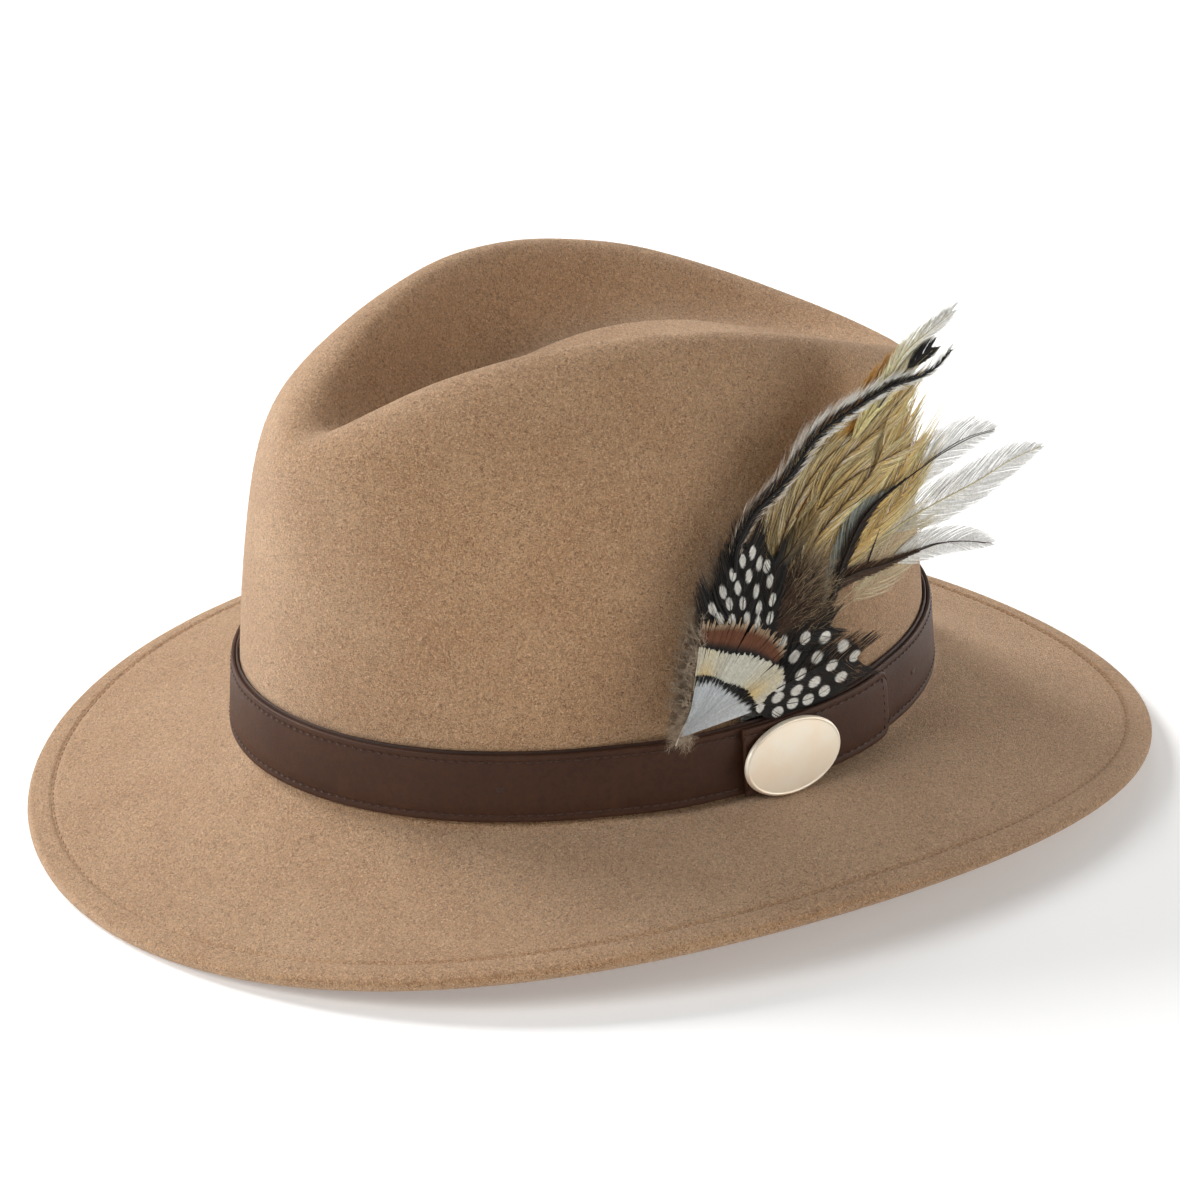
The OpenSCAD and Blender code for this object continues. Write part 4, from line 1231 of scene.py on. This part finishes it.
def make_badger():
    pl = Plumage()
    path = [(-7, 45), (-5.2, 51.7), (-1, 57), (3.4, 60.8), (11.3, 64.6), (17.2, 68.4),
            (22.4, 72.8), (27.4, 76.2), (33.9, 78.6), (42.6, 80.8), (49.5, 82.4), (57.3, 83.4),
            (65.7, 83.4), (71.8, 84.7), (77.4, 87.9)]

    def paint(s, tau, side, uv):
        width = np.interp(s, [0, 0.2, 0.4, 0.7, 1], [0.72, 0.55, 0.48, 0.42, 0.4])
        f = smooth((tau - width) / 0.14)
        return shade(BLACK + 0.004, shade(DOWN_LIGHT, WHITE, np.clip(s * 2.2, 0, 1)), f)

    feather(pl, path, [2.4, 3.2, 3.8, 4.0, 4.0, 3.6, 3.0, 2.4, 1.7, 0.8],
            [2.0, 2.6, 3.0, 3.0, 3.0, 2.6, 2.2, 1.8, 1.4, 0.8], paint, 4.2, 0.24, 21, 10, 0.1,
            quill=(0.55, 0.2), quill_colour=rgb(24, 21, 19), clump=0.8, ragged=0.3)
    fringe = graded(DOWN, WHITE, 0.35, 0.5, 0.3)
    feather(pl, path[2:10], [3.4, 4.2, 4.6, 4.6, 4.0, 3.2], [0.2, 0.2, 0.2, 0.2, 0.2], fringe, 3.6,
            0.7, 26, 10, 0.06, None, clump=1.6, ragged=0.35)
    pl.build("feather_badger_hackle", "badger_hackle", FEATHER)


def make_tipped():
    pl = Plumage()

    def cream(s, tau, side, uv):
        return shade(STRAW, WHITE, np.clip(s * 1.6 - 0.4 + 0.3 * tau, 0, 1)) * 1.12

    feather(pl, [(40, 71), (48.9, 79.4), (55.4, 85.5), (62.1, 91.2), (71, 94.9), (80, 98.4)],
            [2, 2.8, 3.0, 3.0, 2.6, 2.0, 1.0], [2, 2.8, 3.0, 3.0, 2.4, 2.0, 0.8], cream, 3.0, 0.22,
            18, 9, 0.15, quill=THIN_QUILL, quill_colour=rgb(188, 170, 120), clump=0.8, ragged=0.22)

    def tipped(s, tau, side, uv):
        f = smooth((s - 0.55) / 0.06) * smooth((1.15 - tau) / 0.3)
        return shade(CREAM, BLACK, f)

    feather(pl, [(50, 78), (57, 83.6), (63.3, 87.3), (67, 88.9), (71.2, 90.2)],
            [1.2, 1.8, 2.4, 2.8, 1.6], [1.2, 1.8, 2.4, 2.8, 1.6], tipped, 3.5, 0.2, 26, 8, 0.19,
            quill=THIN_QUILL, quill_colour=rgb(40, 34, 28), ragged=0.02, clump=0.08)
    feather(pl, [(46, 76), (56, 81.5), (64, 86.0), (72, 89.5)], [1.4, 1.6, 1.6, 1.0, 0.3],
            [1.4, 1.6, 1.6, 1.0, 0.3], cream, 3.2, 0.34, 20, 8, quill=THIN_QUILL,
            quill_colour=rgb(188, 170, 120), clump=0.8, ragged=0.22)
    pl.build("feather_cream_tips", "pheasant_tips", FEATHER)


# ---- spotted feathers ----
UPPER_DOTS = [(-3.5, 47.4), (-7.5, 44.5), (-1.8, 42.4), (-11.5, 40.5), (-6.2, 40.2), (0.4, 37.4),
              (-9.8, 36.5), (-5.0, 35.3), (0.8, 32.4), (-13.4, 33.0), (-9.4, 31.5), (-4.1, 30.5),
              (-0.2, 28.3), (5.6, 38.9), (5.7, 33.4), (4.2, 28.4), (0.4, 48.7), (2.5, 44.8),
              (5.1, 43.4), (-15.4, 36.5)]
SIDE_DOTS = [(15.6, 19.4), (22.8, 17.6), (28.5, 13.5), (11.1, 15.2), (18.8, 12.8), (24.2, 8.8),
             (4.8, 12.1), (12.7, 9.4), (18.4, 5.3), (28.2, 4.0), (5.2, 7.9), (5.0, 4.5),
             (11.9, 4.7), (10.8, 0.9), (22.4, 1.3), (-1.7, 3.1), (5.4, -0.2), (32.6, 9.3),
             (7.6, 20.6), (16.5, 0.4)]


def spots(centres, root, along, across):
    """White spots on near-black; each is longer in the direction away from root."""
    centres, root = np.array(centres), np.array(root)

    def paint(s, tau, side, uv):
        inside = np.zeros(uv.shape[:2])
        for c in centres:
            d = unit(c - root)
            rel = uv - c
            a = rel @ d
            b = rel @ np.array([-d[1], d[0]])
            q = np.sqrt((a / along) ** 2 + (b / across) ** 2)
            inside = np.maximum(inside, smooth((1.08 - q) / 0.16))
        base = shade(BLACK, rgb(52, 44, 36), np.clip(tau * 0.5, 0, 1) * 0.6 + 0 * s)
        return shade(base, WHITE, inside * 0.94)
    return paint


def make_guinea():
    pl = Plumage()
    up = spots(UPPER_DOTS, (-7, 8), 1.95, 1.15)
    for q, w, z in (([(-9, 16), (-13, 28), (-15.5, 36), (-15, 41)], 5.2, 3.3),
                    ([(-1, 16), (4, 28), (7, 37), (8, 44)], 5.6, 3.5),
                    ([(-6, 14), (-6, 28), (-4, 40), (-1, 51.5)], 7.2, 3.8),
                    ([(-7, 14), (-9.5, 27), (-9.5, 38), (-7, 46)], 6.2, 4.0)):
        widths = [w, w, w, 0.9 * w, 0.6 * w]
        feather(pl, q, widths, widths, up, z, 0.22, 27, 22, None, THIN_QUILL, rgb(40, 34, 30), 0.25)
    pl.build("feather_spotted_upper", "guinea_upper", FEATHER)
    pl = Plumage()
    side = spots(SIDE_DOTS, (-16, 2), 2.05, 1.65)
    for q, w, z in (([(-4, 5), (8, 1.5), (18, 0.5), (27, 2.5)], 4.4, 3.6),
                    ([(-3, 8), (9, 16), (18, 19.5), (25, 20.5)], 5.4, 3.8),
                    ([(-4, 6), (10, 8.5), (21, 10), (33.5, 8.5)], 7.8, 4.2)):
        widths = [w, w, w, 0.9 * w, 0.7 * w]
        feather(pl, q, widths, widths, side, z, 0.22, 30, 22, None, THIN_QUILL, rgb(40, 34, 30),
                0.25)

    def tips(tau, k):
        return shade(UMBER, rgb(176, 140, 104), np.clip(tau * 1.3, 0, 1))

    a = rng.uniform(-35, 40, 160)
    root = np.stack([22 + 11 * cosd(a), 8.5 + 9 * sind(a)], -1)
    wisps(pl, root, a * 0.8 + 6 + rng.normal(0, 8, 160), rng.uniform(2.5, 4.5, 160), tips, 3.6,
          0.08, 8, 0.2)
    pl.build("feather_spotted_side", "guinea_side", FEATHER)


# ---- the three fans over the band ----
FAN_ROOT = np.array([-31.0, 2.6])


def fan(pl, angles, inner, outer, paint, z, count, m, hw, ragged):
    """Barbs that radiate from the fan's root, from radius inner to outer (a table by angle)."""
    th = np.sort(rng.uniform(angles[0], angles[1], count))
    n1 = np.sin(th * 1.7 + 1) * 0.6 + np.sin(th * 3.9) * 0.4
    r1 = np.interp(th, *outer) * (1 + ragged * (n1 + rng.normal(0, 0.7, count)))
    tau = np.linspace(0, 1, m)[None]
    r = inner + (r1 - inner)[:, None] * tau
    ang = np.radians(th[:, None] + (tau ** 2) * (1.2 * n1)[:, None])
    u, v = FAN_ROOT[0] + r * np.cos(ang), FAN_ROOT[1] + r * np.sin(ang)
    zz = z + 0.6 * np.sin(np.pi * np.clip(r / 40, 0, 1)) \
        + rng.uniform(-0.05, 0.05, count)[:, None]
    tilt = rng.normal(0.05, 0.16, count)[:, None]
    wd = xyz(-np.sin(ang) * np.cos(tilt), np.cos(ang) * np.cos(tilt), np.sin(tilt))
    half = hw * np.clip(r / 14, 0.25, 2.2) * (1 - 0.5 * tau ** 6)
    colour = paint(th[:, None] + 0 * tau, r, r / r1[:, None])
    colour = colour * (1 + rng.normal(0, 0.05, count)[:, None, None])
    pl.strips(np.stack([u, v, zz], -1), wd, half, np.clip(colour, 0, 1))


# radius in mm of each fan's edge, by angle in degrees
GREY_OUT = ([0, 4, 12.7, 24.8, 38.7, 53.4, 67, 74], [25.6, 25.2, 21.8, 19.3, 17.9, 17.4, 16, 15.5])
BLACK_OUT = ([0, 4.8, 8.5, 18.3, 28.6, 38.9, 56.3, 69, 76],
             [27.8, 27.4, 26.3, 24.5, 22.1, 19.9, 19.1, 18.4, 18])
CREAM_OUT = ([2, 4.2, 7.9, 11.5, 15.6, 21.9, 28.6, 37.2, 46.5, 57.6, 70.4, 76],
             [28, 28.4, 33, 38, 37.6, 35.4, 33, 30.1, 27.4, 26.2, 26.2, 26])
BROWN_OUT = ([18, 24.9, 28.9, 34.6, 42.1, 49.5, 58.9, 66.1, 72],
             [39.8, 39.5, 38.9, 37.9, 35.9, 34.2, 32.1, 31.2, 31])


def make_fans():
    pl = Plumage()

    def rust(th, r, f):
        out = np.interp(th, *BROWN_OUT)
        inn = np.interp(th, *CREAM_OUT)
        g = (r - inn) / np.maximum(out - inn, 1)
        c = shade(BLACK, RUST, smooth((g - 0.15) / 0.4))
        return shade(c, rgb(206, 180, 146), 0.8 * smooth((g - 1.0) / 0.25))

    outer = (BROWN_OUT[0], [x + 1.5 for x in BROWN_OUT[1]])
    fan(pl, (21, 71), 20.0, outer, rust, 4.4, 520, 16, 0.08, 0.03)
    pl.build("feather_rust_fan", "rust_feather", FEATHER)
    pl = Plumage()

    def cream(th, r, f):
        gold = np.exp(-((th - 62) / 10) ** 2) + 0.9 * np.exp(-((th - 14) / 9) ** 2)
        low = smooth((0.92 - f) / 0.25)
        c = shade(rgb(226, 224, 208), rgb(232, 204, 140), np.clip(gold * (0.35 + 0.65 * low), 0, 1))
        return shade(c, BLACK, 0.9 * smooth((f - 1.0) / 0.02) * smooth((th - 26) / 4))

    fan(pl, (3.5, 72), 14.0, CREAM_OUT, cream, 4.9, 760, 16, 0.12, 0.01)
    pl.build("feather_cream_fan", "cream_feather", FEATHER)
    pl = Plumage()

    def grey_to_black(th, r, f):
        g = np.interp(th, *GREY_OUT) + 0.5 * np.sin(th * 1.3) + 0.35 * np.sin(th * 3.1)
        c = shade(GREYF * 0.86, GREYF * 1.12, np.clip(r / 20, 0, 1))
        return shade(c, BLACK, smooth((r - g) / 0.35))

    fan(pl, (1.5, 71), 1.2, BLACK_OUT, grey_to_black, 5.3, 700, 22, 0.12, 0.01)
    fan(pl, (2, 70), 0.8, ([0, 76], [14, 12]), lambda th, r, f: GREYF * 1.1 + 0 * r[..., None], 5.4,
        90, 8, 0.05, 0.3)
    pl.tube(np.array([[-31.5, 0.5, 5.0], [-30.8, 3.0, 5.3], [-29.5, 6.5, 5.4], [-27.5, 11, 5.5]]),
            np.array([0.35, 0.3, 0.22, 0.08]), rgb(206, 200, 186), 6)
    pl.build("feather_grey_fan", "grey_feather", FEATHER)


make_down()
make_plumes()
make_brown()
make_golden()
make_orange()
make_badger()
make_tipped()
make_guinea()
make_fans()


# ---- the brooch's backing and quill binding ----
def tongue_axes():
    """The tongue's top on the crown, and its axes out, back and up."""
    o = cone(CONE_H, 0, 0.0)
    lean = math.atan(LEAN)
    x = np.array([math.cos(lean), 0, math.sin(lean)])
    z = np.array([-math.sin(lean), 0, math.cos(lean)])
    return o, x, np.array([0.0, 1.0, 0.0]), z


def make_backing():
    a = np.linspace(0, 2 * np.pi, 96, endpoint=False)
    rings = []
    for inset, z in ((8, -1.1), (0.5, -1.1), (0.12, -0.95), (0, -0.7), (0, -0.4), (0.12, -0.15),
                     (0.5, -0.02), (8, 0.0)):
        u, v = (15 - inset) * np.cos(a), 20 + (19.8 - inset) * np.sin(a)
        rings.append(on_plane(u, v, z))
    rings = np.array(rings)
    m, n = rings.shape[:2]
    faces = capped(m, n)
    verts = [rings.reshape(-1, 3)]
    count = m * n
    o, x, y, z = tongue_axes()
    # the tongue: a flat tab that widens into a bent foot under the backing
    path = [(0.9, -20, 3.6), (0.9, -19.4, 4.6), (0.9, -18, 5), (0.9, -9, 5), (0.9, -1, 5),
            (1.1, -0.3, 5), (1.8, -0.05, 5), (2.9, 0.05, 5)]
    rows = []
    for i, (px, pz, half) in enumerate(path):
        nx, nz = (1, 0) if i < 5 else ((0.7, -0.7) if i == 5 else (0, -1))
        ring = []
        for sy, so in ((-1, -0.3), (-1, 0.3), (1, 0.3), (1, -0.3)):
            ring.append(o + x * (px + nx * so) + z * (pz + nz * so) + y * half * sy)
        rows.append(ring)
    rows = np.array(rows)
    verts.append(rows.reshape(-1, 3))
    faces.append(grid_faces(len(path), 4, start=count))
    last = count + (len(path) - 1) * 4
    faces.append(np.array([[count, count + 1, count + 2, count + 3],
                           [last + 3, last + 2, last + 1, last]]))
    ob = new_object("brooch_backing_felt", np.concatenate(verts), faces, "brooch",
                    BACKING)
    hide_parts("brooch_backing")
    # waxed thread wound round the quill ends
    turns, per = 9, 40      # turns of thread, points on a turn
    k = np.arange(turns * per + 1)
    ph = k / per * 2 * np.pi
    hx = 0.52 * np.sign(np.cos(ph)) * np.abs(np.cos(ph)) ** 0.4
    hy = 5.25 * np.sign(np.sin(ph)) * np.abs(np.sin(ph)) ** 0.4
    centre = o + x * (0.9 + hx)[:, None] + y * hy[:, None] \
        + z * (-15.6 + 8.2 * k / len(k))[:, None]
    tan = unit(np.gradient(centre, axis=0))
    side = unit(np.cross(tan, z))
    up = np.cross(side, tan)
    ang = np.linspace(0, 2 * np.pi, 7, endpoint=False)
    tube = centre[:, None] + 0.16 * np.cos(ang)[None, :, None] * side[:, None] \
        + 0.44 * np.sin(ang)[None, :, None] * up[:, None]
    ob = new_object("quill_thread_binding", tube, [grid_faces(len(centre), 7)], "brooch",
                    RIBBON)
    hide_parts("quill_binding")


make_backing()


# ---- floor, light ----
LIGHT_SIZE, FLOOR_HALF, FLOOR_Z = 1.2, 6.0, -0.0002      # metres
HAT_MIDDLE = Vector((0, 0, 0.07))


def make_stage():
    scene = bpy.context.scene
    scene.view_settings.view_transform = "Standard"
    scene.view_settings.look = "None"
    mesh = bpy.data.meshes.new("floor")
    corners = ((-1, -1), (1, -1), (1, 1), (-1, 1))
    mesh.from_pydata([(x * FLOOR_HALF, y * FLOOR_HALF, FLOOR_Z) for x, y in corners], [],
                     [(0, 1, 2, 3)])
    floor = bpy.data.objects.new("floor", mesh)
    scene.collection.objects.link(floor)
    n = Nodes("floor_white", **{"Base Color": (0.86, 0.86, 0.855, 1), "Roughness": 1.0,
                                "Specular IOR Level": 0.0})
    n.set(n.bsdf, {"Emission Color": (1, 1, 1, 1), "Emission Strength": 0.25})
    mesh.materials.append(n.material)
    world = bpy.data.worlds.new("world")
    scene.world = world
    world.use_nodes = True
    sky = world.node_tree.nodes["Background"].inputs
    sky[0].default_value = (1.0, 0.995, 0.985, 1)
    sky[1].default_value = 0.12

    cam = scene.camera.matrix_world
    right, up, back = cam.col[0].xyz, cam.col[1].xyz, cam.col[2].xyz

    def area(name, where, power, colour=(1, 1, 1)):
        """where is (right, up, back) of the camera, in metres from the hat."""
        data = bpy.data.lights.new(name, "AREA")
        data.shape = "DISK"
        data.size, data.energy, data.color = LIGHT_SIZE, power, colour
        ob = bpy.data.objects.new(name, data)
        scene.collection.objects.link(ob)
        at = HAT_MIDDLE + right * where[0] + up * where[1] + back * where[2]
        ob.location = at
        ob.rotation_mode = "QUATERNION"
        ob.rotation_quaternion = (at - Vector((0, 0, 0.06))).to_track_quat("Z", "Y")

    area("key", (-1.5, 1.75, -0.5), 62, (1, 0.995, 0.985))
    area("front_left", (-1.4, 0.6, 1.4), 25)
    area("back_right", (1.5, 1.0, -1.4), 20)
    area("overhead", (0.0, 2.0, -0.6), 6)
    area("right", (1.8, 0.3, 0.5), 13, (1, 0.985, 0.96))


make_stage()
